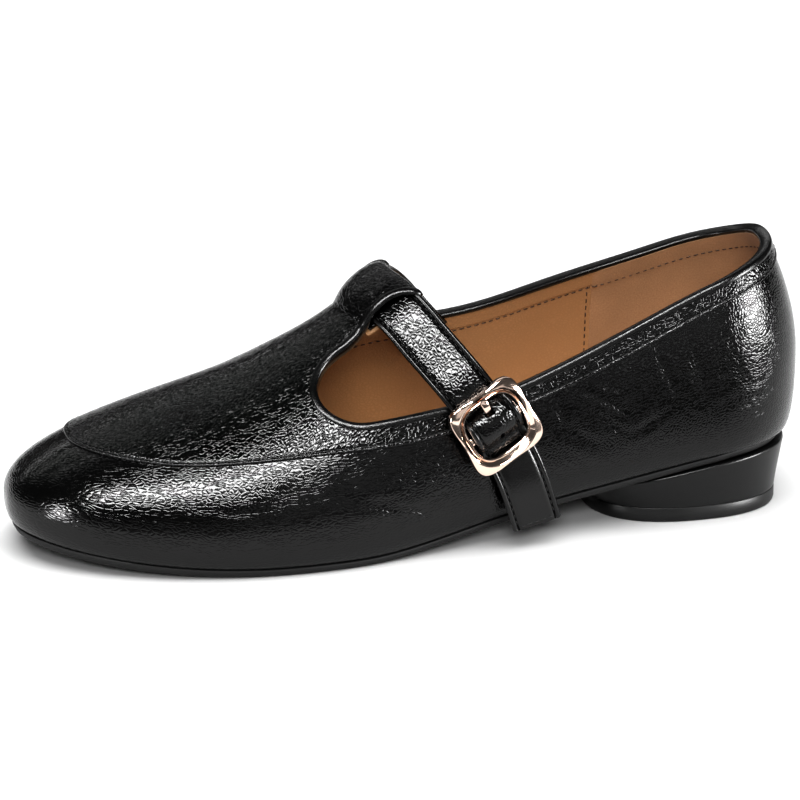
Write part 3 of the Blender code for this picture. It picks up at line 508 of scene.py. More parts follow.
def bar_row(step, reach):
    """Point of the T-bar, by its distance behind the bow and its girth from the ridge."""
    return from_ridge(X_BOW - step - min(step / BOW_BAR_RUN, 1) * strap_fall(reach), reach)


def bar_half(step):
    """Half width of the T-bar behind the bow."""
    behind = step + min(step / BOW_BAR_RUN, 1) * strap_fall(BAR_HALF)
    neck = float(np.clip((step - NECK_FROM) / (BAR_LONG - NECK_FROM), 0, 1))
    return BAR_HALF + (BOW_FROM_RIDGE - BAR_HALF) * round_off(behind, BOW_BAR_RUN) - NECK_IN * neck ** 1.5


BAR_BOW = BOW_BAR_RUN / (1 + strap_fall(BAR_HALF) / BOW_BAR_RUN)
BAR_STEPS = np.concatenate([BAR_BOW * (1 - np.sin(BOW_TURNS[-2::-1])), np.linspace(BAR_BOW, BAR_LONG, 6)[1:]])


def upper_stations(step):
    """Stations about a step in mm apart, with all of the bow's own ones."""
    heel, toe = int(HEEL_RUN / step), int(TOE_RUN / step)
    return np.concatenate([np.linspace(-1, 0, heel), np.linspace(0, BOW_START, int(SIDE_RUN / step))[1:-1],
                           BOW_STATION - BOW_LOW_RUN * (1 - np.sin(BOW_TURNS)) / SIDE_RUN,
                           np.linspace(BOW_STATION, 1, 9)[1:-1], np.linspace(1, 2, toe)])


class Sheet:
    """Leather sheet on the last, with the heights of its outside and inside and its place on the flat cut."""

    def __init__(self):
        self.points, self.rise, self.under, self.cut, self.faces = [], [], [], [], []

    def add(self, point, rise, under, cut):
        self.points.append(point)
        self.rise.append(rise)
        self.under.append(under)
        self.cut.append(cut)
        return len(self.points) - 1

    def join(self, first, second, side):
        """Faces between two neighbouring columns, the second further to the toe."""
        for i in range(min(len(first), len(second)) - 1):
            face = [first[i], second[i], second[i + 1], first[i + 1]]
            face = list(dict.fromkeys(face if side == INNER else reversed(face)))
            if len(face) > 2:
                self.faces.append(tuple(face))


def point_normals(points, faces):
    normals = np.zeros_like(points)
    for corners in (3, 4):
        group = np.array([f for f in faces if len(f) == corners], int).reshape(-1, corners)
        first, second, third = [points[group[:, k]] - points[group[:, 0]] for k in (1, 2, -1)]
        area = np.cross(first, second)
        if corners == 4:
            area = area + np.cross(second, third)
        for k in range(corners):
            np.add.at(normals, group[:, k], area)
    return normals / np.maximum(np.linalg.norm(normals, axis=1), 1e-12)[:, None]


def thicken(points, faces, rise, under):
    """Closed leather from a sheet: its outside stands at rise, its inside at under, both in mm."""
    normals = point_normals(points, faces)
    count = len(points)
    skins = np.vstack([points + normals * np.asarray(heights)[:, None] for heights in (rise, under)])
    edges = {(f[i], f[(i + 1) % len(f)]) for f in faces for i in range(len(f))}
    solid = list(faces) + [tuple(i + count for i in reversed(f)) for f in faces]
    solid += [(b, a, a + count, b + count) for a, b in sorted(edges) if (b, a) not in edges]
    return skins, solid


def sheet_piece(name, sheet, material):
    """Piece of leather from a sheet, with the same flat cut for both of its sides."""
    skins, faces = thicken(np.array(sheet.points), sheet.faces, sheet.rise, sheet.under)
    return add_piece(name, skins, faces, material, cut=sheet.cut * 2)


def top_cut(station, side, reach):
    """Place on the flat apron: the ridge lies straight and the toe fans out round the ball."""
    cos, sin = fan_turn(station)
    pole = np.clip(X_HEEL + SIDE_RUN * station, X_HEEL, X_BALL)
    return pole + reach * cos, side * reach * sin


def band_cut(station, side, girth):
    """Place on the flat collar band, carried back in line with the apron."""
    if station >= BOW_START:
        return top_cut(station, side, full_girth(station, side) - girth)
    back = edge_run(BOW_START) - edge_run(station)
    return X_HEEL + SIDE_RUN * BOW_START - back, side * (full_girth(BOW_START, side) - girth)


def cover_last(sheet, stations, column_rows, bar_steps, shares):
    """Fills a sheet over the upper; column_rows gives girth, rise and under up to the opening at a station.

    Returns the columns of each side, and the rows of each side's T-bar from the bow to the neck."""
    pole_row = column_rows(2.0, OUTER)[-1]
    pole = sheet.add(from_ridge(X_BALL - 1e-6, 0.0), *pole_row[1:], (X_BALL, 0.0))
    columns, bars, shared = {}, {}, {}
    for side in (OUTER, INNER):
        columns[side], tops = [], []
        for station in stations:
            station = float(station)
            if station in (-1.0, 2.0) and (station, "column") in shared:
                column = shared[station, "column"]
            else:
                column = [sheet.add(on_last(station, side, girth), *heights, band_cut(station, side, girth))
                          for girth, *heights in column_rows(station, side)]
                shared[station, "column"] = column
            columns[side].append(column)
            if station < BOW_STATION - 1e-9:
                continue
            if (station, "top") in shared and station == 2.0:
                tops.append(shared[station, "top"])
                continue
            full = full_girth(station, side)
            reach = full - opening_edge(station, side)
            edge_row = column_rows(station, side)[-1]
            top = [column[-1]]
            for share in shares[1:-1]:
                out = reach * (1 - share)
                place = top_cut(station, side, out)
                top.append(sheet.add(on_last(station, side, full - out), *edge_row[1:], place))
            if station >= 1:
                top.append(pole)
            else:
                if (station, "ridge") not in shared:
                    x = X_HEEL + SIDE_RUN * station
                    shared[station, "ridge"] = sheet.add(from_ridge(x, 0.0), *edge_row[1:], (x, 0.0))
                top.append(shared[station, "ridge"])
            shared[station, "top"] = top
            tops.append(top)
        for first, second in zip(columns[side], columns[side][1:]):
            sheet.join(first, second, side)
        for first, second in zip(tops, tops[1:]):
            sheet.join(first, second, side)
        bars[side] = [tops[0]]
        for step in bar_steps:
            row = []
            for share in shares[:-1]:
                reach = bar_half(step) * (1 - share)
                x = X_BOW - step - min(step / BOW_BAR_RUN, 1) * strap_fall(reach)
                row.append(sheet.add(bar_row(step, side * reach), *pole_row[1:], (x, side * reach)))
            if ("step", step) not in shared:
                shared["step", step] = sheet.add(bar_row(step, 0.0), *pole_row[1:], (X_BOW - step, 0.0))
            row.append(shared["step", step])
            sheet.join(row, bars[side][-1], side)
            bars[side].append(row)
    return columns, bars


def lining_rows(station, side):
    """Girth and the heights of the lining's two sides; the facing strip stands in along the topline."""
    edge = opening_edge(station, side)
    strip = float(np.clip((BOW_START - 0.02 - station) / 0.05, 0, 1))
    low = edge - FACING
    girths = [*np.linspace(0.6, low - 0.8, 20), *(low + d for d in (-0.4, -0.15, 0.0, 0.2, 0.5)),
              *np.linspace(low + 1.2, edge - 0.05, 6)]
    steps = [FACING_STEP * strip * float(np.clip((g - edge + FACING) / 0.25, 0, 1)) for g in girths]
    return [(g, LINING_OUT, LINING_IN - step) for g, step in zip(girths, steps)]


lining_sheet = Sheet()
cover_last(lining_sheet, upper_stations(3.0), lining_rows, BAR_STEPS, BAR_SHARES[::2])
# Tan lining leather: smooth and matt, with a fine grain and slow changes of tone
lining_leather = leather("lining_leather", "#a27b55", "#bb9165", 0.9, 1.3, 0.025, (8.0, 3.5), 0.1,
                         (0.42, 0.52), {"IOR": 1.5})
lining = sheet_piece("lining", lining_sheet, lining_leather)
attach(lining, "root")

# HEEL GRIP
# A patch of tan suede over the lining round the back of the heel, so that the foot doesn't slip.
# Its front edges are skived thin and sewn down on both sides.
GRIP_RUN = 70.0
GRIP_IN = -2.25
GRIP_STATION = (GRIP_RUN - HEEL_RUN) / SIDE_RUN


def round_the_heel(front, count):
    """Stations and sides from the outer side round the back of the heel to the inner side."""
    half = np.linspace(-1, front, count)
    return [(float(s), OUTER) for s in half[:0:-1]] + [(float(s), INNER) for s in half]


grip_sheet = Sheet()
grip_columns = []
for station, side in round_the_heel(GRIP_STATION, 44):
    edge = opening_edge(station, side)
    skive = float(np.clip((GRIP_STATION - station) * SIDE_RUN / 0.7, 0, 1)) ** 0.5
    column = []
    for girth in np.linspace(2.0, edge - 1.0, 30):
        step = FACING_STEP * float(np.clip((girth - edge + FACING + 0.3) / 0.6, 0, 1))
        column.append(grip_sheet.add(on_last(station, side, girth), LINING_IN - step + 0.2,
                                     LINING_IN - step - 0.05 + (GRIP_IN - LINING_IN) * skive,
                                     (side * edge_run(station), girth)))
    grip_columns.append(column)
for first, second in zip(grip_columns, grip_columns[1:]):
    grip_sheet.join(first, second, INNER)
# Tan suede: no shine, a short nap that lies in small light and dark flecks
suede = speckled("suede", "#93704f", "#ab8460", 0.55, 0.09, (0.86, 0.95), {"IOR": 1.45, "Sheen Weight": 0.1})
grip = sheet_piece("heel_grip", grip_sheet, suede)
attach(grip, "root")

# VAMP AND QUARTERS
# The lower wall of the upper in black glazed leather, pulled over the last and cemented under its edge.
# Walking and lasting leave soft creases, most of them on the quarter behind the buckle.
WALL_IN = -0.9
TUCK = 3.2               # the wall runs on this far under the apron and the band
TUCK_ROWS = ((4.5, -0.12), (1.6, -0.12), (0.5, -0.06))    # inset under the edge, height from the edge
WALL_ROWS = (0.35, 0.9, 1.8, 3.0)
WALL_FROM, WALL_COUNT = 4.2, 54    # girth and number of the even rows above them
DRAWN_MORE, DRAWN_FROM, DRAWN_RUN = 0.9, 95, 70    # the stretch grows by this over that run of the edge
BANK_HIGH, BANK_OUT = 0.4, 2.2    # banks beside a crease: share of its depth, half widths away
# Soft troughs: side, run and girth at both ends, bow of the line, half width, depth
CREASES = (
    (OUTER, 67, 43, 57, 19, 0.8, 1.0, 0.24),
    (OUTER, 91, 35, 72, 19, -0.8, 1.0, 0.24),
    (OUTER, 88, 29, 75, 16, 0.6, 0.9, 0.18),
    (OUTER, 100, 26, 83, 13, -0.8, 1.6, 0.2),
    (OUTER, 76, 16, 62, 21, 1.0, 1.4, 0.18),
    (OUTER, 98, 36, 92, 22, 1.0, 1.3, 0.22),
    (OUTER, 54, 40, 50, 22, 1.0, 1.6, 0.20),
    (OUTER, 176, 24, 141, 18, 2.0, 1.5, 0.20),
    (OUTER, 168, 17, 138, 11, -2.0, 1.5, 0.20),
    (OUTER, 212, 19, 186, 22, 1.5, 1.5, 0.14),
    (INNER, 70, 42, 60, 18, -1.5, 1.5, 0.36),
    (INNER, 96, 36, 78, 18, 2.0, 1.5, 0.34),
    (INNER, 108, 30, 92, 14, -1.5, 1.6, 0.28),
    (INNER, 172, 25, 144, 17, 2.0, 1.5, 0.22),
    (INNER, 164, 17, 140, 11, -2.0, 1.5, 0.20),
)


def grain_run(run):
    """Run on the flat leather before lasting, which draws the wall out towards the toe."""
    runs = np.linspace(0, 280, 281)
    drawn = 1 + DRAWN_MORE * np.clip((runs - DRAWN_FROM) / DRAWN_RUN, 0, 1)
    return float(np.interp(run, runs, np.cumsum(1 / drawn)))


def crease(side, run, girth):
    """Depth of the soft creases at a place on the wall, in mm."""
    depth = 0.0
    for of_side, run_a, girth_a, run_b, girth_b, bow, width, deep in CREASES:
        if of_side != side:
            continue
        along = np.array([run_b - run_a, girth_b - girth_a])
        length = np.linalg.norm(along)
        place = np.array([run - run_a, girth - girth_a])
        share = float(place @ along) / length ** 2
        if not 0 < share < 1:
            continue
        away = float(along[0] * place[1] - along[1] * place[0]) / length - bow * 4 * share * (1 - share)
        fade = math.sin(math.pi * share) ** 0.8
        bank = BANK_HIGH * math.exp(-((abs(away) - BANK_OUT * width) / width) ** 2)
        trough = math.exp(-(away / width) ** 2) - bank
        depth -= deep * fade * trough
    return depth


wall_sheet = Sheet()
wall_columns = []
wall_stations = even_stations(38, 150, 72)
around = [(float(s), OUTER) for s in wall_stations[::-1]] + [(float(s), INNER) for s in wall_stations[1:-1]]
for station, side in around:
    run = edge_run(station)
    flat = grain_run(run)
    column = [wall_sheet.add(sole_point(station, side, inset, SOLE + height), 0.0, WALL_IN, (flat, -inset))
              for inset, height in TUCK_ROWS]
    for girth in (*WALL_ROWS, *np.linspace(WALL_FROM, seam_line(station, side) + TUCK, WALL_COUNT)):
        depth = crease(side, run, girth)
        column.append(wall_sheet.add(on_last(station, side, girth), depth, WALL_IN, (flat, girth)))
    wall_columns.append(column)
for first, second in zip(wall_columns, wall_columns[1:] + wall_columns[:1]):
    wall_sheet.join(first, second, INNER)
# Black glazed leather: a crinkled pebble grain under a polished finish that throws broken highlights
GLAZE = {"IOR": 1.43, "Coat Weight": 0.1, "Coat Roughness": 0.1}
glazed_leather = leather("black_glazed_leather", "#020202", "#060606", 0.95, 1.15, 0.044, (9.0, 3.0), 0.04,
                         (0.13, 0.18), GLAZE)
vamp = sheet_piece("vamp_and_quarters", wall_sheet, glazed_leather)
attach(vamp, "root")
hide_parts("upper")

# APRON, COLLAR BAND AND T-BAR
# One piece of the same leather, laid over the wall with a folded edge and sewn along it.
# Its T-bar runs up the instep, folds over the strap as a loop and is sewn down underneath.
EDGE_ROWS = (0.0, 0.05, 0.15, 0.28, 0.45, 0.65, 0.85, 1.0, 1.15, 1.3, 1.5, 1.8, 2.3, 3.0)
FOLD_ROUND = 0.45        # the folded edge turns over in this width
STITCH_LINE = 1.15       # from the folded edge
STITCH_GROOVE = 0.16
BAND_UNDER = 0.05
LOOP_THICK = 0.85
LOOP_BACK = -8.6         # the loop turns here, behind the strap's middle
# Outside of the loop: along the instep from the strap's middle, height above the last, girth out to its edge
LOOP_PATH = ((LOOP_NECK, BAND_STEP, 15.4), (10.2, 1.65, 14.4), (8.2, 2.5, 14.1), (5.5, 3.35, 14.2),
             (2.5, 3.8, 14.5), (0.0, 3.9, 14.9), (-2.5, 3.75, 15.8), (-5.3, 3.15, 17.5), (-7.3, 2.2, 19.2),
             (-8.4, 1.0, 20.1), (LOOP_BACK, -0.1, 20.2), (-8.0, -1.15, 19.5), (-6.0, -1.65, 17.9),
             (0.0, -1.7, 16.6), (6.0, -1.7, 15.9), (10.0, -1.75, 15.0))
LOOP_INNER = (9.5, 15.4)    # girth out to the loop's inner edge, at its back and at its neck


def unit(vector):
    return vector / np.linalg.norm(vector)


def strap_frame(reach):
    """Middle of the strap on the last, with the directions across it (to the toe) and out."""
    step = 0.5
    line = [X_STRAP - strap_fall(r) for r in (reach - step, reach, reach + step)]
    before, middle, after = [from_ridge(x, r) for x, r in zip(line, (reach - step, reach, reach + step))]
    along = from_ridge(line[1] + 1, reach) - from_ridge(line[1] - 1, reach)
    round_ = from_ridge(line[1], reach + 1) - from_ridge(line[1], reach - 1)
    across = unit(np.cross(after - before, unit(np.cross(along, round_))))
    return middle, across, unit(np.cross(across, after - before))


def fold_rise(distance):
    """Height of the folded edge above the wall, by distance from its edge."""
    turn = 1 - min(distance / FOLD_ROUND, 1)
    groove = STITCH_GROOVE * math.exp(-((distance - STITCH_LINE) / 0.28) ** 2)
    return BAND_UNDER + 0.02 + (BAND_STEP - BAND_UNDER) * math.sqrt(1 - turn ** 2) - groove


def band_rows(station, side):
    """Girth and the heights of the band's two sides, from its folded edge to the opening."""
    seam = seam_line(station, side)
    edge = opening_edge(station, side)
    rows = [(seam + d, fold_rise(d), BAND_UNDER) for d in EDGE_ROWS]
    rows += [(g, BAND_STEP, BAND_UNDER) for g in np.linspace(seam + EDGE_ROWS[-1], edge, 13)[1:]]
    return rows


BAND_STATIONS = upper_stations(1.4)
apron_sheet = Sheet()
apron_columns, apron_bars = cover_last(apron_sheet, BAND_STATIONS, band_rows, BAR_STEPS, BAR_SHARES)
apron_base = np.array(apron_sheet.points)
apron_skin = apron_base + point_normals(apron_base, apron_sheet.faces) * np.array(apron_sheet.rise)[:, None]
apron_sheet.points = list(apron_skin)
apron_thick = [rise - under for rise, under in zip(apron_sheet.rise, apron_sheet.under)]
loop_run = run_along(np.array(LOOP_PATH)[:, :2])
loop_along, loop_height, loop_half = [spline(loop_run, values) for values in zip(*LOOP_PATH)]
loop_rows = {OUTER: [], INNER: []}
loop_ridge = {}
for side in (OUTER, INNER):
    before = apron_bars[side][-1]
    for run in np.linspace(0, loop_run[-1], 64)[2:]:
        along, height = float(loop_along(run)), float(loop_height(run))
        half = float(loop_half(run))
        if side == INNER:
            half = float(np.interp(along, (LOOP_BACK, LOOP_NECK), LOOP_INNER))
        row = []
        for share in BAR_SHARES:
            reach = half * (1 - share)
            if share == 1 and run in loop_ridge:
                row.append(loop_ridge[run])
                continue
            middle, across, out = strap_frame(side * reach)
            row.append(apron_sheet.add(middle + across * along + out * height, 0.0, 0.0,
                                       (X_STRAP + LOOP_NECK * RIDGE_COS - run, side * reach)))
            apron_thick.append(LOOP_THICK)
            if share == 1:
                loop_ridge[run] = row[-1]
        apron_sheet.join(row, before, side)
        before = row
        loop_rows[side].append(row)
apron_points = np.array(apron_sheet.points)
apron_normals = point_normals(apron_points, apron_sheet.faces)
# Black glazed leather, cut across the hide: rounder pebbles, the same polish
apron_leather = leather("black_glazed_leather_across", "#020202", "#060606", 1.05, 1.2, 0.075, (9.0, 4.0),
                        0.04, (0.1, 0.15), GLAZE)
apron_sheet.rise, apron_sheet.under = np.zeros(len(apron_points)), -np.array(apron_thick)
apron = sheet_piece("apron_and_t_bar", apron_sheet, apron_leather)
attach(apron, "root")

# LOOP TAB
# The end of the T-bar's lining, folded back with the leather under the loop and caught in its last stitches.
# A corner of the tan leather shows at the top of the cut-out.
TAB_TOP, TAB_LOW = -1.8, -2.4
# Along the instep from the strap's middle, girth out to the edge
TAB_ROWS = ((11.5, 15.4), (10.0, 16.0), (8.0, 16.5), (6.0, 16.3), (4.0, 15.5))
tab_sheet = Sheet()
tab_rows = []
for along, half in TAB_ROWS:
    row = []
    for reach in np.linspace(-half, half, 25):
        middle, across, _ = strap_frame(reach)
        row.append(tab_sheet.add(middle + across * along, TAB_TOP, TAB_LOW, (along, reach)))
    tab_rows.append(row)
for first, second in zip(tab_rows, tab_rows[1:]):
    tab_sheet.join(first, second, OUTER)
tab = sheet_piece("loop_tab", tab_sheet, lining_leather)
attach(tab, "root")

# BINDING
# A narrow strip of smooth leather rolled over the edge of the opening and the T-bar and sewn through.
# It holds the outer leather and the lining together and shows as a bright round rim.
BINDING_STEP = 1.0
BINDING_DEEP = 2.95      # outer leather, lining and facing strip together
# Inwards from the edge, height above the outside, share of the depth below it
BINDING_PROFILE = (
    (1.9, 0.03, 0), (1.9, 0.22, 0), (1.75, 0.36, 0), (1.3, 0.45, 0), (0.7, 0.47, 0), (0.2, 0.38, 0),
    (-0.22, 0.1, 0), (-0.45, -0.4, 0), (-0.52, 0.0, 0.5), (-0.45, 0.4, 1), (-0.22, -0.12, 1), (0.2, -0.32, 1),
    (0.6, -0.36, 1), (1.0, -0.32, 1), (1.15, -0.2, 1), (1.15, -0.03, 1), (0.1, -0.03, 1), (0.1, 0.03, 0))


def resample(points, step, *others):
    """Runs about a step apart along a line, its points there, and other rows of values carried along."""
    run = run_along(points)
    keep = np.concatenate([[True], np.diff(run) > 1e-6])
    even = np.linspace(0, run[-1], int(run[-1] / step) + 1)
    rows = [np.column_stack([np.interp(even, run[keep], np.asarray(values)[keep][:, k])
                             for k in range(np.shape(values)[1])]) for values in (points, *others)]
    return [even, *rows]


def smooth_rows(rows, passes):
    for _ in range(passes):
        rows[1:-1] = 0.25 * rows[:-2] + 0.5 * rows[1:-1] + 0.25 * rows[2:]
    return rows


def tube_faces(count, ring, first=0):
    """Faces of a tube of so many rings, from its first point on: the sides, then both ends."""
    last = first + (count - 1) * ring
    faces = [(low + i, low + (i + 1) % ring, low + ring + (i + 1) % ring, low + ring + i)
             for low in range(first, last, ring) for i in range(ring)]
    return faces + [tuple(range(first, first + ring)), tuple(range(last, last + ring))]


rim = {}
rim_deep = {}
for side in (OUTER, INNER):
    on_loop = [row[0] for row in loop_rows[side][-20::-1]]
    on_bar = [row[0] for row in apron_bars[side][:0:-1]]
    on_band = [column[-1] for station, column in zip(BAND_STATIONS[::-1], apron_columns[side][::-1])
               if station <= BOW_STATION + 1e-9]
    rim[side] = on_loop + on_bar + on_band
    rim_deep[side] = [LOOP_THICK - 0.1] * len(on_loop) + [BINDING_DEEP] * (len(on_bar) + len(on_band))
rim_points = apron_points[rim[OUTER] + rim[INNER][-2::-1]]
rim_normals = apron_normals[rim[OUTER] + rim[INNER][-2::-1]]
rim_depths = np.array(rim_deep[OUTER] + rim_deep[INNER][-2::-1])[:, None]
rim_run, rim_points, rim_normals, rim_depths = resample(rim_points, BINDING_STEP, rim_normals, rim_depths)
rim_points = smooth_rows(rim_points, 2)
rim_normals = smooth_rows(rim_normals, 4)
rim_depths = smooth_rows(rim_depths, 12)
rim_ways = np.gradient(rim_points, axis=0)
binding_points, binding_cut = [], []
for run, point, normal, way, (deep,) in zip(rim_run, rim_points, rim_normals, rim_ways, rim_depths):
    inwards = unit(np.cross(way, normal))
    normal = unit(np.cross(inwards, way))
    slim = float(np.clip((deep - LOOP_THICK) / (BINDING_DEEP - LOOP_THICK), 0.15, 1))
    for t, (inset, height, share) in enumerate(BINDING_PROFILE):
        lift = height * (slim if share == 1 else 1.0)
        binding_points.append(point + inwards * inset + normal * (lift - deep * share))
        binding_cut.append((run, 1.2 * t))
binding_faces = tube_faces(len(rim_run), len(BINDING_PROFILE))
# Smooth black leather: thinly split and polished, so its round rim keeps a clean line of light
smooth_leather = leather("black_smooth_leather", "#030303", "#080808", 0.9, 1.4, 0.012, (9.0, 3.0), 0.04,
                         (0.2, 0.28), {"IOR": 1.45, "Coat Weight": 0.1, "Coat Roughness": 0.15})
binding = add_piece("binding", binding_points, binding_faces, smooth_leather, cut=binding_cut, sharp=60)
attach(binding, "root")

# UPPER STITCHING
# Lockstitch in black waxed thread along the folded edge of the apron and the band.
# Each stitch sinks into its holes at both ends.
STITCH_PITCH, STITCH_LONG, THREAD = 2.7, 2.1, 0.2
THREAD_SIDES = 6
STITCH_SHARES = (0.0, 0.2, 0.5, 0.8, 1.0)    # rings of thread along one stitch


def stitches(points, normals, pitch, long, thread):
    """Stitches laid on a line of the surface, one short sunken thread after another."""
    run, points, normals = resample(points, 0.4, normals)
    corners, faces = [], []
    for start in np.arange(pitch / 2, run[-1] - long, pitch):
        first = len(corners)
        for share in STITCH_SHARES:
            at = start + long * share
            middle = np.array([np.interp(at, run, points[:, k]) for k in range(3)])
            after = np.array([np.interp(at + 0.2, run, points[:, k]) for k in range(3)])
            normal = unit(np.array([np.interp(at, run, normals[:, k]) for k in range(3)]))
            way = unit(after - middle)
            beside = np.cross(way, normal)
            sunk = thread * (0.5 - 1.9 * (2 * share - 1) ** 4)
            for turn in np.arange(THREAD_SIDES) * 2 * math.pi / THREAD_SIDES:
                up = sunk + thread * math.sin(turn)
                corners.append(middle + normal * up + beside * thread * math.cos(turn))
        faces += tube_faces(len(STITCH_SHARES), THREAD_SIDES, first)
    return corners, faces


def add_stitching(name, lines, pitch, long, thread, material):
    """One piece from the stitches along several lines of points and normals."""
    corners, faces = [], []
    for points, normals in lines:
        new_corners, new_faces = stitches(np.asarray(points), np.asarray(normals), pitch, long, thread)
        faces += [tuple(i + len(corners) for i in face) for face in new_faces]
        corners += new_corners
    piece = add_piece(name, corners, faces, material, sharp=80)
    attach(piece, "root")
    return piece


# Waxed black thread: hard twisted, with a dull waxy gleam
black_thread = speckled("waxed_black_thread", "#050505", "#0e0e0e", 0.35, 0.05, (0.55, 0.65), {"IOR": 1.5})
stitch_row = EDGE_ROWS.index(STITCH_LINE)
seam_numbers = [column[stitch_row] for column in apron_columns[OUTER][::-1]]
seam_numbers += [column[stitch_row] for column in apron_columns[INNER][1:]]
add_stitching("upper_stitching", [(apron_points[seam_numbers], apron_normals[seam_numbers])],
              STITCH_PITCH, STITCH_LONG, THREAD, black_thread)

# LINING STITCHING
# Brown thread under the facing strip along the topline, and down the front edges of the heel grip.
# The holes are close together and pull the soft leather in a little.
LINING_PITCH, LINING_LONG, LINING_THREAD = 2.4, 1.7, 0.2
GRIP_SEAM = 1.5          # in front of the grip's edge


def inside_line(places):
    """Points and normals on the lining or the grip, for stations, sides and girths."""
    points, normals = [], []
    for station, side, girth in places:
        height = LINING_IN if station > GRIP_STATION else GRIP_IN - 0.05
        here = on_last(station, side, girth)
        up = on_last(station, side, girth + 0.5) - here
        ahead = on_last(station + 0.01, side, girth) - here
        inward = unit(np.cross(up, ahead)) * -side
        points.append(here - inward * height)
        normals.append(inward)
    return points, normals


facing_places = [(s, side, opening_edge(s, side) - FACING - 0.45)
                 for s, side in round_the_heel(BOW_START - 0.03, 120)]
grip_lines = []
for side in (OUTER, INNER):
    ahead = GRIP_STATION + GRIP_SEAM / SIDE_RUN
    girths = np.linspace(4.0, opening_edge(ahead, side) - 1.8, 40)
    grip_lines.append(inside_line([(ahead, side, g) for g in girths]))
# Brown thread: spun polyester, darker than the leather
brown_thread = speckled("brown_thread", "#2a180c", "#4a2f1c", 0.35, 0.05, (0.55, 0.65), {"IOR": 1.5})
add_stitching("lining_stitching", [inside_line(facing_places), *grip_lines],
              LINING_PITCH, LINING_LONG, LINING_THREAD, brown_thread)

# STRAP
# Two layers of leather sewn together along the edges, pebbled above the buckle and smooth on the tail.
# It comes from inside the inner wall, runs through the loop and the buckle, and ends square on the quarter.
STRAP_HALF = 7.9
# Underside above the last on the inner side of the loop, by girth from the ridge
STRAP_INNER = ((-46, -3.4), (-42.5, -4.2), (-38, -4.3), (-30, -2.8), (-23.5, -1.1), (-18, -0.6))
STRAP_REACHES = (*np.linspace(-46, -21, 10), *np.linspace(-18, 18, 13))
STRAP_SAG = 1.5          # outward bow of the free run between the loop and the buckle
BUCKLE_X, BUCKLE_Z, BUCKLE_LEAN = 107.0, 40.0, math.radians(29.5)
# Through the buckle: along, height of the underside above the wall, shift across
STRAP_IN_BUCKLE = ((-11.0, 1.6, 0.9), (-9.0, 1.62, 0.7), (-7.0, 1.7, 0.35), (-5.9, 2.6, 0.15), (-4.6, 4.3, 0),
                   (-2.8, 5.3, 0), (-0.5, 5.3, 0), (1.5, 4.7, 0), (3.4, 3.5, 0), (6.2, 1.35, 0), (8.5, 1.0, 0),
                   (11.0, 0.8, 0), (17.0, 0.6, 0.5), (26.0, -0.3, 2.0), (36.5, -2.4, 4.0))
BEFORE_BUCKLE = -99.0    # stands for any place on the strap before the buckle
# The hump over the bar swells up and out inside the window
HUMP, HUMP_FULL, HUMP_WIDE = (-7.2, 4.6), 0.9, 0.3
SLOT, SLOT_HALF = (-6.8, -3.6), 1.7
HOLE_AT, HOLE_ROUND = (2.3, 0.0), 0.95
TAIL_CORNER = 0.7
TAIL_SLANT, TAIL_SLANT_RUN = 2.3, 14.0    # the tail is cut shorter by this on its toe side
FLAT_FROM, FLAT_RUN = -9.0, 18.0    # its raised edges sink over this run of the buckle
SMOOTH_FROM = 8.0        # the leather is smooth from here to the tail
STRAP_STEP = 0.8
STRAP_SEAM = 6.15        # from the middle of the strap to its stitches
# Half a section: across, top with raised edges above the buckle, top of the tail, underside
STRAP_SECTION = (
    (7.90, 0.90, 0.80, 0.55), (7.82, 1.30, 1.15, 0.25), (7.55, 1.66, 1.38, 0.06), (7.15, 1.84, 1.50, 0.0),
    (6.75, 1.76, 1.44, 0.0), (6.42, 1.38, 1.15, 0.0), (STRAP_SEAM, 0.90, 0.80, 0.0), (5.88, 1.36, 1.15, 0.0),
    (5.45, 1.68, 1.44, 0.0), (4.7, 1.76, 1.47, 0.0), (3.6, 1.79, 1.48, 0.0), (2.6, 1.8, 1.48, 0.0),
    (1.7, 1.8, 1.48, 0.0), (HOLE_ROUND, 1.8, 1.48, 0.0))


def surface_normal(x, reach):
    along = from_ridge(x + 1, reach) - from_ridge(x - 1, reach)
    return unit(np.cross(along, from_ridge(x, reach + 1) - from_ridge(x, reach - 1)))


buckle_rib, buckle_girths = rib((BUCKLE_X - X_HEEL) / SIDE_RUN, OUTER)
buckle_reach = buckle_girths[-1] - np.interp(BUCKLE_Z, buckle_rib[:, 2], buckle_girths)
buckle_middle = from_ridge(BUCKLE_X, buckle_reach)
buckle_out = surface_normal(BUCKLE_X, buckle_reach)
buckle_down = np.array([-math.sin(BUCKLE_LEAN), 0, -math.cos(BUCKLE_LEAN)])
buckle_along = unit(buckle_down - buckle_out * buckle_down.dot(buckle_out))
buckle_across = np.cross(buckle_along, buckle_out)

strap_in = spline(*zip(*STRAP_INNER), None, 0)
strap_line, strap_ways, strap_places = [], [], []
for reach in STRAP_REACHES:
    middle, _, out = strap_frame(reach)
    strap_line.append(middle + out * float(strap_in(reach)))
    strap_ways.append(out)
    strap_places.append(BEFORE_BUCKLE)
in_buckle, in_heights, in_shifts = zip(*STRAP_IN_BUCKLE)
buckle_height, buckle_shift = spline(in_buckle, in_heights), spline(in_buckle, in_shifts)
buckle_places = np.linspace(in_buckle[0], in_buckle[-1], 40)
buckle_run = [buckle_middle + buckle_along * a + buckle_out * float(buckle_height(a))
              + buckle_across * float(buckle_shift(a)) for a in buckle_places]
loop_exit, loop_way = strap_line[-1], strap_ways[-1]
for share in (0.3, 0.65):
    way = unit(loop_way * (1 - share) + buckle_out * share)
    sag = way * STRAP_SAG * 4 * share * (1 - share)
    strap_line.append(loop_exit * (1 - share) + buckle_run[0] * share + sag)
    strap_ways.append(way)
    strap_places.append(BEFORE_BUCKLE)
strap_line += buckle_run
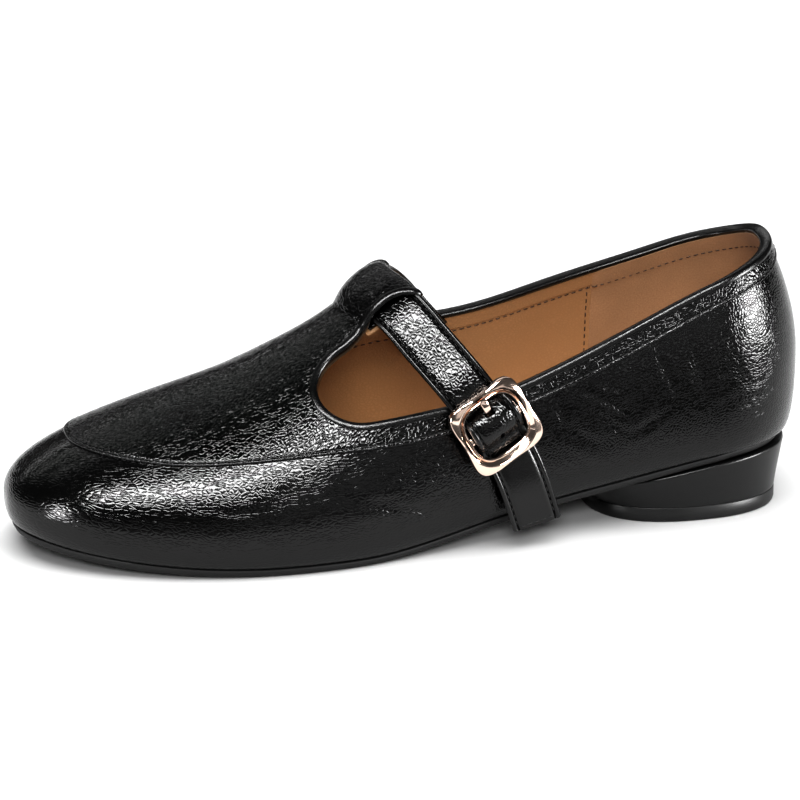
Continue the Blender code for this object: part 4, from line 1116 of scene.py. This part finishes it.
strap_ways += [buckle_out] * len(buckle_run)
strap_places += buckle_places.tolist()
strap_run = run_along(strap_line)
strap_curve = [spline(strap_run, values) for values in np.transpose(strap_line)]
way_curve = [spline(strap_run, values) for values in np.transpose(strap_ways)]


def run_at(place):
    """Run along the strap at a place in the buckle."""
    return float(np.interp(place, buckle_places, strap_run[-len(buckle_places):]))


slot_runs = [run_at(a) for a in SLOT]
hole_runs = [run_at(HOLE_AT[0] + d * HOLE_ROUND) for d in (-1, 0, 1)]
fixed_runs = slot_runs + hole_runs
strap_rows_at = [r for r in np.arange(0, strap_run[-1], STRAP_STEP)
                 if min(abs(r - f) for f in fixed_runs) > STRAP_STEP / 2]
strap_rows_at = sorted(strap_rows_at + fixed_runs + [strap_run[-1] - d for d in (0.3, 0.05, 0.0)])
strap_columns = [(-c, *heights) for c, *heights in STRAP_SECTION] + [(0.0, *STRAP_SECTION[-1][1:])]
strap_columns += STRAP_SECTION[::-1]
strap_sheet = Sheet()
strap_rows = []
for run in strap_rows_at:
    middle = np.array([float(curve(run)) for curve in strap_curve])
    ahead = np.array([float(curve(min(run + 0.3, strap_run[-1]))) for curve in strap_curve])
    behind = np.array([float(curve(max(run - 0.3, 0))) for curve in strap_curve])
    way = unit(ahead - behind)
    across = unit(np.cross(way, [float(curve(run)) for curve in way_curve]))
    place = float(np.interp(run, strap_run, strap_places))
    swell = math.sin(math.pi * float(np.clip((place - HUMP[0]) / (HUMP[1] - HUMP[0]), 0, 1))) ** 2
    left = strap_run[-1] - run
    corner = TAIL_CORNER - math.sqrt(max(TAIL_CORNER ** 2 - max(TAIL_CORNER - left, 0) ** 2, 0))
    slim = (STRAP_HALF + HUMP_WIDE * swell - corner) / STRAP_HALF
    tail = float(np.clip((place - FLAT_FROM) / FLAT_RUN, 0, 1))
    row = []
    for c, top, tail_top, low in strap_columns:
        near = run in hole_runs and abs(c) <= HOLE_ROUND
        off = np.array([run - hole_runs[1], c]) if near else np.zeros(2)
        if near and np.any(off):
            off = off * (HOLE_ROUND / np.linalg.norm(off)) - off
        slant = TAIL_SLANT * (c / STRAP_HALF + 1) / 2 * max(1 - left / TAIL_SLANT_RUN, 0)
        point = middle + across * (c * slim + off[1]) + way * (off[0] - slant)
        full = HUMP_FULL * swell * (1 - (c / STRAP_HALF) ** 2)
        row.append(strap_sheet.add(point, top + (tail_top - top) * tail + full, low, (run, c)))
    strap_rows.append(row)
for first, second, start, end in zip(strap_rows, strap_rows[1:], strap_rows_at, strap_rows_at[1:]):
    for i in range(len(strap_columns) - 1):
        wide = max(abs(strap_columns[i][0]), abs(strap_columns[i + 1][0]))
        in_slot = start >= slot_runs[0] - 1e-6 and end <= slot_runs[1] + 1e-6 and wide <= SLOT_HALF
        in_hole = start >= hole_runs[0] - 1e-6 and end <= hole_runs[2] + 1e-6 and wide <= HOLE_ROUND
        if not (in_slot or in_hole):
            strap_sheet.join(first[i:i + 2], second[i:i + 2], OUTER)
# Black glazed leather from the belly of the hide: the same polish over larger pebbles and cracks
strap_leather = leather("black_glazed_leather_belly", "#020202", "#060606", 1.2, 1.1, 0.055, (6.0, 4.0), 0.04,
                        (0.12, 0.17), GLAZE)
strap = sheet_piece("instep_strap", strap_sheet, strap_leather)
strap.data.materials.append(smooth_leather)
tail_from = run_at(SMOOTH_FROM)
strap_cut = np.array(strap_sheet.cut * 2)
for polygon in strap.data.polygons:
    runs, sides = strap_cut[list(polygon.vertices)].T
    if runs.min() > tail_from or np.abs(sides).min() >= STRAP_SEAM:
        polygon.material_index = 1
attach(strap, "root")
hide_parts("strap")

# STRAP STITCHING
# A row of black stitches along both edges of the strap, and across the end of its tail.
# The thread is finer than on the upper and lies in a groove beside the raised edge.
STRAP_PITCH, STRAP_LONG, STRAP_THREAD = 2.3, 1.7, 0.17
END_SEAM = 1.4           # from the end of the tail to the stitches across it
strap_points = np.array(strap_sheet.points)
strap_normals = point_normals(strap_points, strap_sheet.faces)
strap_top = strap_points + strap_normals * np.array(strap_sheet.rise)[:, None]
edge_columns = [i for i, c in enumerate(strap_columns) if abs(c[0]) == STRAP_SEAM]
ends_at = [k for k, r in enumerate(strap_rows_at) if r < strap_run[-1] - END_SEAM]
strap_lines = [[strap_rows[k][column] for k in ends_at] for column in edge_columns]
strap_lines.append([strap_rows[ends_at[-1]][i] for i in range(edge_columns[0], edge_columns[1] + 1)])
add_stitching("strap_stitching", [(strap_top[line], strap_normals[line]) for line in strap_lines],
              STRAP_PITCH, STRAP_LONG, STRAP_THREAD, black_thread)

# BUCKLE FRAME
# A cast square frame with flared corners and a centre bar, polished and plated in rose gold.
# The strap runs under its two ends and humps over the bar.
FRAME_LONG, FRAME_WIDE, WINDOW_LONG, WINDOW_WIDE = 12.3, 12.5, 8.6, 9.0
FRAME_LOW, FRAME_WAIST, FRAME_POWER, WINDOW_POWER = 3.8, 0.045, 5.0, 3.4
FACE_LONG, FACE_WIDE, FACE_POWER = 11.15, 11.35, 2.6    # inner edge of the face, rounder than the frame
FACE_LEAST, FACE_HIGH = 0.6, 2.58    # least width of the face, and its height above the underside
FRAME_LEAN, FACE_DROOP = 0.05, 0.25    # the face leans down, and falls off outwards, by these slopes
FRAME_ANGLES = 160
# Place from the outer edge (0) over the face's inner edge (1) to the window (2), height above the underside
FRAME_SECTION = ((0.1, 0.0), (0.0, 0.25), (0.0, 1.9), (0.04, 2.25), (0.12, 2.45), (0.25, 2.53), (0.8, 2.57),
                 (0.95, FACE_HIGH), (1.03, 2.52), (1.1, 2.38), (1.5, 1.4), (1.68, 0.96), (1.72, 1.3),
                 (1.77, 1.36), (1.9, 1.35), (1.97, 1.2), (2.0, 0.9), (2.0, 0.25), (1.94, 0.05), (1.8, 0.0),
                 (1.0, 0.0))
BAR_WIDE, BAR_THICK, BAR_UP, BAR_SIDES = 1.1, 0.4, 0.42, 16
BAR_ROOT = 0.8           # the bar runs on this far into the frame


def in_buckle_axes(a, c, height):
    return buckle_middle + buckle_along * a + buckle_across * c + buckle_out * height


def frame_outline(angle, long, wide, power, waist):
    """Radius of a rounded square, with sides that pull in by the waist's share."""
    radius = ((abs(math.cos(angle)) / wide) ** power + (abs(math.sin(angle)) / long) ** power) ** (-1 / power)
    return radius * (1 - waist * math.cos(2 * angle) ** 2)


frame_rings = []
for angle in np.linspace(0, 2 * math.pi, FRAME_ANGLES, endpoint=False):
    big = frame_outline(angle, FRAME_LONG, FRAME_WIDE, FRAME_POWER, FRAME_WAIST)
    small = frame_outline(angle, WINDOW_LONG, WINDOW_WIDE, WINDOW_POWER, 0.0)
    ring = min(frame_outline(angle, FACE_LONG, FACE_WIDE, FACE_POWER, 0.0), big - FACE_LEAST)
    section = []
    for place, height in FRAME_SECTION:
        radius = float(np.interp(place, (0, 1, 2), (big, ring, small)))
        along = radius * math.sin(angle)
        fall = FRAME_LEAN * along + FACE_DROOP * max(1 - place, 0) * (big - ring)
        up = FRAME_LOW + height - fall * height / FACE_HIGH
        section.append(in_buckle_axes(along, radius * math.cos(angle), up))
    frame_rings.append(section)
size = len(FRAME_SECTION)
frame_points = [point for section in frame_rings for point in section]
frame_faces = []
for i in range(FRAME_ANGLES):
    k = (i + 1) % FRAME_ANGLES
    for s in range(size):
        t = (s + 1) % size
        frame_faces.append((i * size + s, k * size + s, k * size + t, i * size + t))
bar_start = len(frame_points)
for c in (-WINDOW_WIDE - BAR_ROOT, WINDOW_WIDE + BAR_ROOT):
    for turn in np.arange(BAR_SIDES) * 2 * math.pi / BAR_SIDES:
        up = FRAME_LOW + BAR_UP + BAR_THICK * math.sin(turn)
        frame_points.append(in_buckle_axes(BAR_WIDE * math.cos(turn), c, up))
frame_faces += tube_faces(2, BAR_SIDES, bar_start)
# Rose-gold plating: pale pink gold, polished, with faint wear in its shine
rose_gold, gold_tree, gold_shader = start_material("rose_gold_plating", {"Base Color": hex_colour("#f3dccd"),
                                                                         "Metallic": 1.0})
gold_place = add_node(gold_tree, "Attribute", attribute_name="cut_mm").outputs["Vector"]
gold_wear = add_node(gold_tree, "TexNoise", {"Vector": gold_place, "Scale": 0.35, "Detail": 4.0})
gold_shine = add_node(gold_tree, "MapRange", {"Value": gold_wear.outputs["Fac"], "From Min": 0.3,
                                              "From Max": 0.7, "To Min": 0.06, "To Max": 0.12})
gold_tree.links.new(gold_shine.outputs[0], gold_shader.inputs["Roughness"])
buckle = add_piece("rose_gold_frame", frame_points, frame_faces, rose_gold, sharp=30)
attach(buckle, "root")
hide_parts("buckle_frame")

# PRONG
# A bent tongue of the same metal, hooked under the centre bar and lying on the frame's upper end.
# It comes up through the slot in the strap.
# Along the buckle, height above the wall
PRONG = ((1.4, 2.95), (0.8, 2.85), (0.0, 2.8), (-1.85, 3.1), (-2.6, 4.0), (-5.0, 5.8), (-8.4, 7.35),
         (-10.4, 7.25))
PRONG_HALF, PRONG_THICK = 1.2, 1.0
PRONG_SECTION = ((-1.0, 0.0), (-0.93, 0.72), (-0.72, 0.95), (0.0, 1.0), (0.72, 0.95), (0.93, 0.72),
                 (1.0, 0.0), (0.93, -0.72), (0.72, -0.95), (0.0, -1.0), (-0.72, -0.95), (-0.93, -0.72))
PRONG_TIP, TIP_RUN = 0.75, 0.6    # the section shrinks to this share over this run at the tip
prong_run = run_along(PRONG)
prong_along, prong_height = [spline(prong_run, values) for values in zip(*PRONG)]
prong_points = []
prong_rows = np.linspace(0, prong_run[-1], 40)
for run in prong_rows:
    way = np.array([float(curve(min(run + 0.1, prong_run[-1])) - curve(max(run - 0.1, 0)))
                    for curve in (prong_along, prong_height)])
    up = unit(np.array([way[1], -way[0]]))
    round_end = PRONG_TIP + (1 - PRONG_TIP) * min((prong_run[-1] - run) / TIP_RUN, 1)
    for c, h in PRONG_SECTION:
        a = float(prong_along(run)) + up[0] * h * PRONG_THICK / 2 * round_end
        height = float(prong_height(run)) + up[1] * h * PRONG_THICK / 2 * round_end
        prong_points.append(in_buckle_axes(a, c * PRONG_HALF * round_end, height))
prong_faces = tube_faces(len(prong_rows), len(PRONG_SECTION))
prong = add_piece("rose_gold_prong", prong_points, prong_faces, rose_gold, sharp=55)
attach(prong, "root")
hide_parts("buckle_prong")

# STUDIO
# A pale matt sweep of paper, with soft boxes above, behind and at both ends and a black card in front.
# The camera stands at the photo's place.
FLOOR_HALF = 6.0


def add_sheet(name, half, near, far, high, material):
    """Flat sheet of paper or card, in metres."""
    mesh = bpy.data.meshes.new(name)
    mesh.from_pydata([(-half, near, high), (half, near, high), (half, far, high), (-half, far, high)],
                     [], [(0, 1, 2, 3)])
    mesh.materials.append(material)
    sheet = bpy.data.objects.new(name, mesh)
    scene.collection.objects.link(sheet)
    return sheet


# White paper: matt and even
paper, _, _ = start_material("white_paper", {"Base Color": hex_colour("#d9d9d9"), "Roughness": 0.9})
floor = add_sheet("floor", FLOOR_HALF, -FLOOR_HALF, FLOOR_HALF, 0, paper)
# Black card on the paper before the shoe, which keeps the leather dark: it shows only in reflections
CARD_HALF, CARD_NEAR, CARD_FAR, CARD_HIGH = 2.0, 0.1, 0.45, 0.001
black_card, _, _ = start_material("black_card", {"Base Color": hex_colour("#0c0c0c"), "Roughness": 0.95})
card = add_sheet("black_card", CARD_HALF, CARD_NEAR, CARD_FAR, CARD_HIGH, black_card)
card.visible_camera = card.visible_diffuse = card.visible_shadow = False
AIM = np.array((2.0, 0.46, 38.9)) * MM
# Soft boxes: degrees round from the outer side to the toe and up, metres away, width and height, brightness,
# and whether they light matt surfaces or show in glossy ones
LIGHTS = (
    ("key_box", 22, 47, 2.5, 2.8, 0.5, 38.0, "glossy"),
    ("heel_strip", -56, 3, 1.3, 0.55, 0.5, 42.0, "glossy"),
    ("toe_strip", 72, 4, 1.2, 0.2, 0.36, 36.0, "glossy"),
    ("back_strip_1", 180, 28, 2.4, 4.0, 0.22, 2.2, "glossy"),
    ("back_strip_2", 180, 46, 2.4, 4.0, 0.22, 2.2, "glossy"),
    ("back_strip_3", 180, 64, 2.4, 4.0, 0.22, 2.2, "glossy"),
    ("buckle_panel", -12, 13, 1.5, 1.0, 0.5, 0.7, "glossy"),
    ("paper_box", 180, 80, 3.0, 4.0, 4.0, 2.2, "matt"),
    ("inside_fill", 0, 72, 3.0, 3.0, 3.0, 4.0, "matt"),
    ("front_fill", 14, 27, 4.0, 1.6, 0.8, 24.0, "matt"),
)


def look_at(thing, place, aim):
    """Puts a camera or a light at a place and turns it to its aim."""
    back = unit(np.array(place, float) - aim)
    right = unit(np.cross((0, 0, 1), back)) if abs(back[2]) < 0.999 else np.array((1.0, 0, 0))
    turn = np.column_stack([right, np.cross(back, right), back])
    thing.matrix_world = Matrix([[*row, at] for row, at in zip(turn.tolist(), place)] + [[0, 0, 0, 1]])


for name, turn, lift, away, wide, high, bright, lights in LIGHTS:
    lamp = bpy.data.lights.new(name, "AREA")
    lamp.shape = "RECTANGLE"
    lamp.size, lamp.size_y, lamp.energy = wide, high, bright * math.pi * wide * high
    box = bpy.data.objects.new(name, lamp)
    box.visible_camera = False
    box.visible_diffuse = lights != "glossy"
    box.visible_glossy = lights != "matt"
    scene.collection.objects.link(box)
    turn, lift = math.radians(turn), math.radians(lift)
    way = np.array((math.sin(turn) * math.cos(lift), math.cos(turn) * math.cos(lift), math.sin(lift)))
    look_at(box, AIM + way * away, AIM)
world = bpy.data.worlds.new("studio")
world.use_nodes = True
world.node_tree.nodes["Background"].inputs["Color"].default_value = (1, 1, 1, 1)
world.node_tree.nodes["Background"].inputs["Strength"].default_value = 0.08
scene.world = world
scene.view_settings.view_transform = "Standard"
scene.view_settings.gamma = 0.8    # the contrast of a printed product photo
CAMERA_WAY = np.array((0.24501, 0.91440, 0.32227))
CAMERA_AWAY = 1.365
lens = bpy.data.cameras.new("camera")
lens.sensor_width, lens.lens = 36.0, 201.7
lens.dof.use_dof = False
camera = bpy.data.objects.new("camera", lens)
scene.collection.objects.link(camera)
look_at(camera, AIM + CAMERA_WAY * CAMERA_AWAY, AIM)
scene.camera = camera
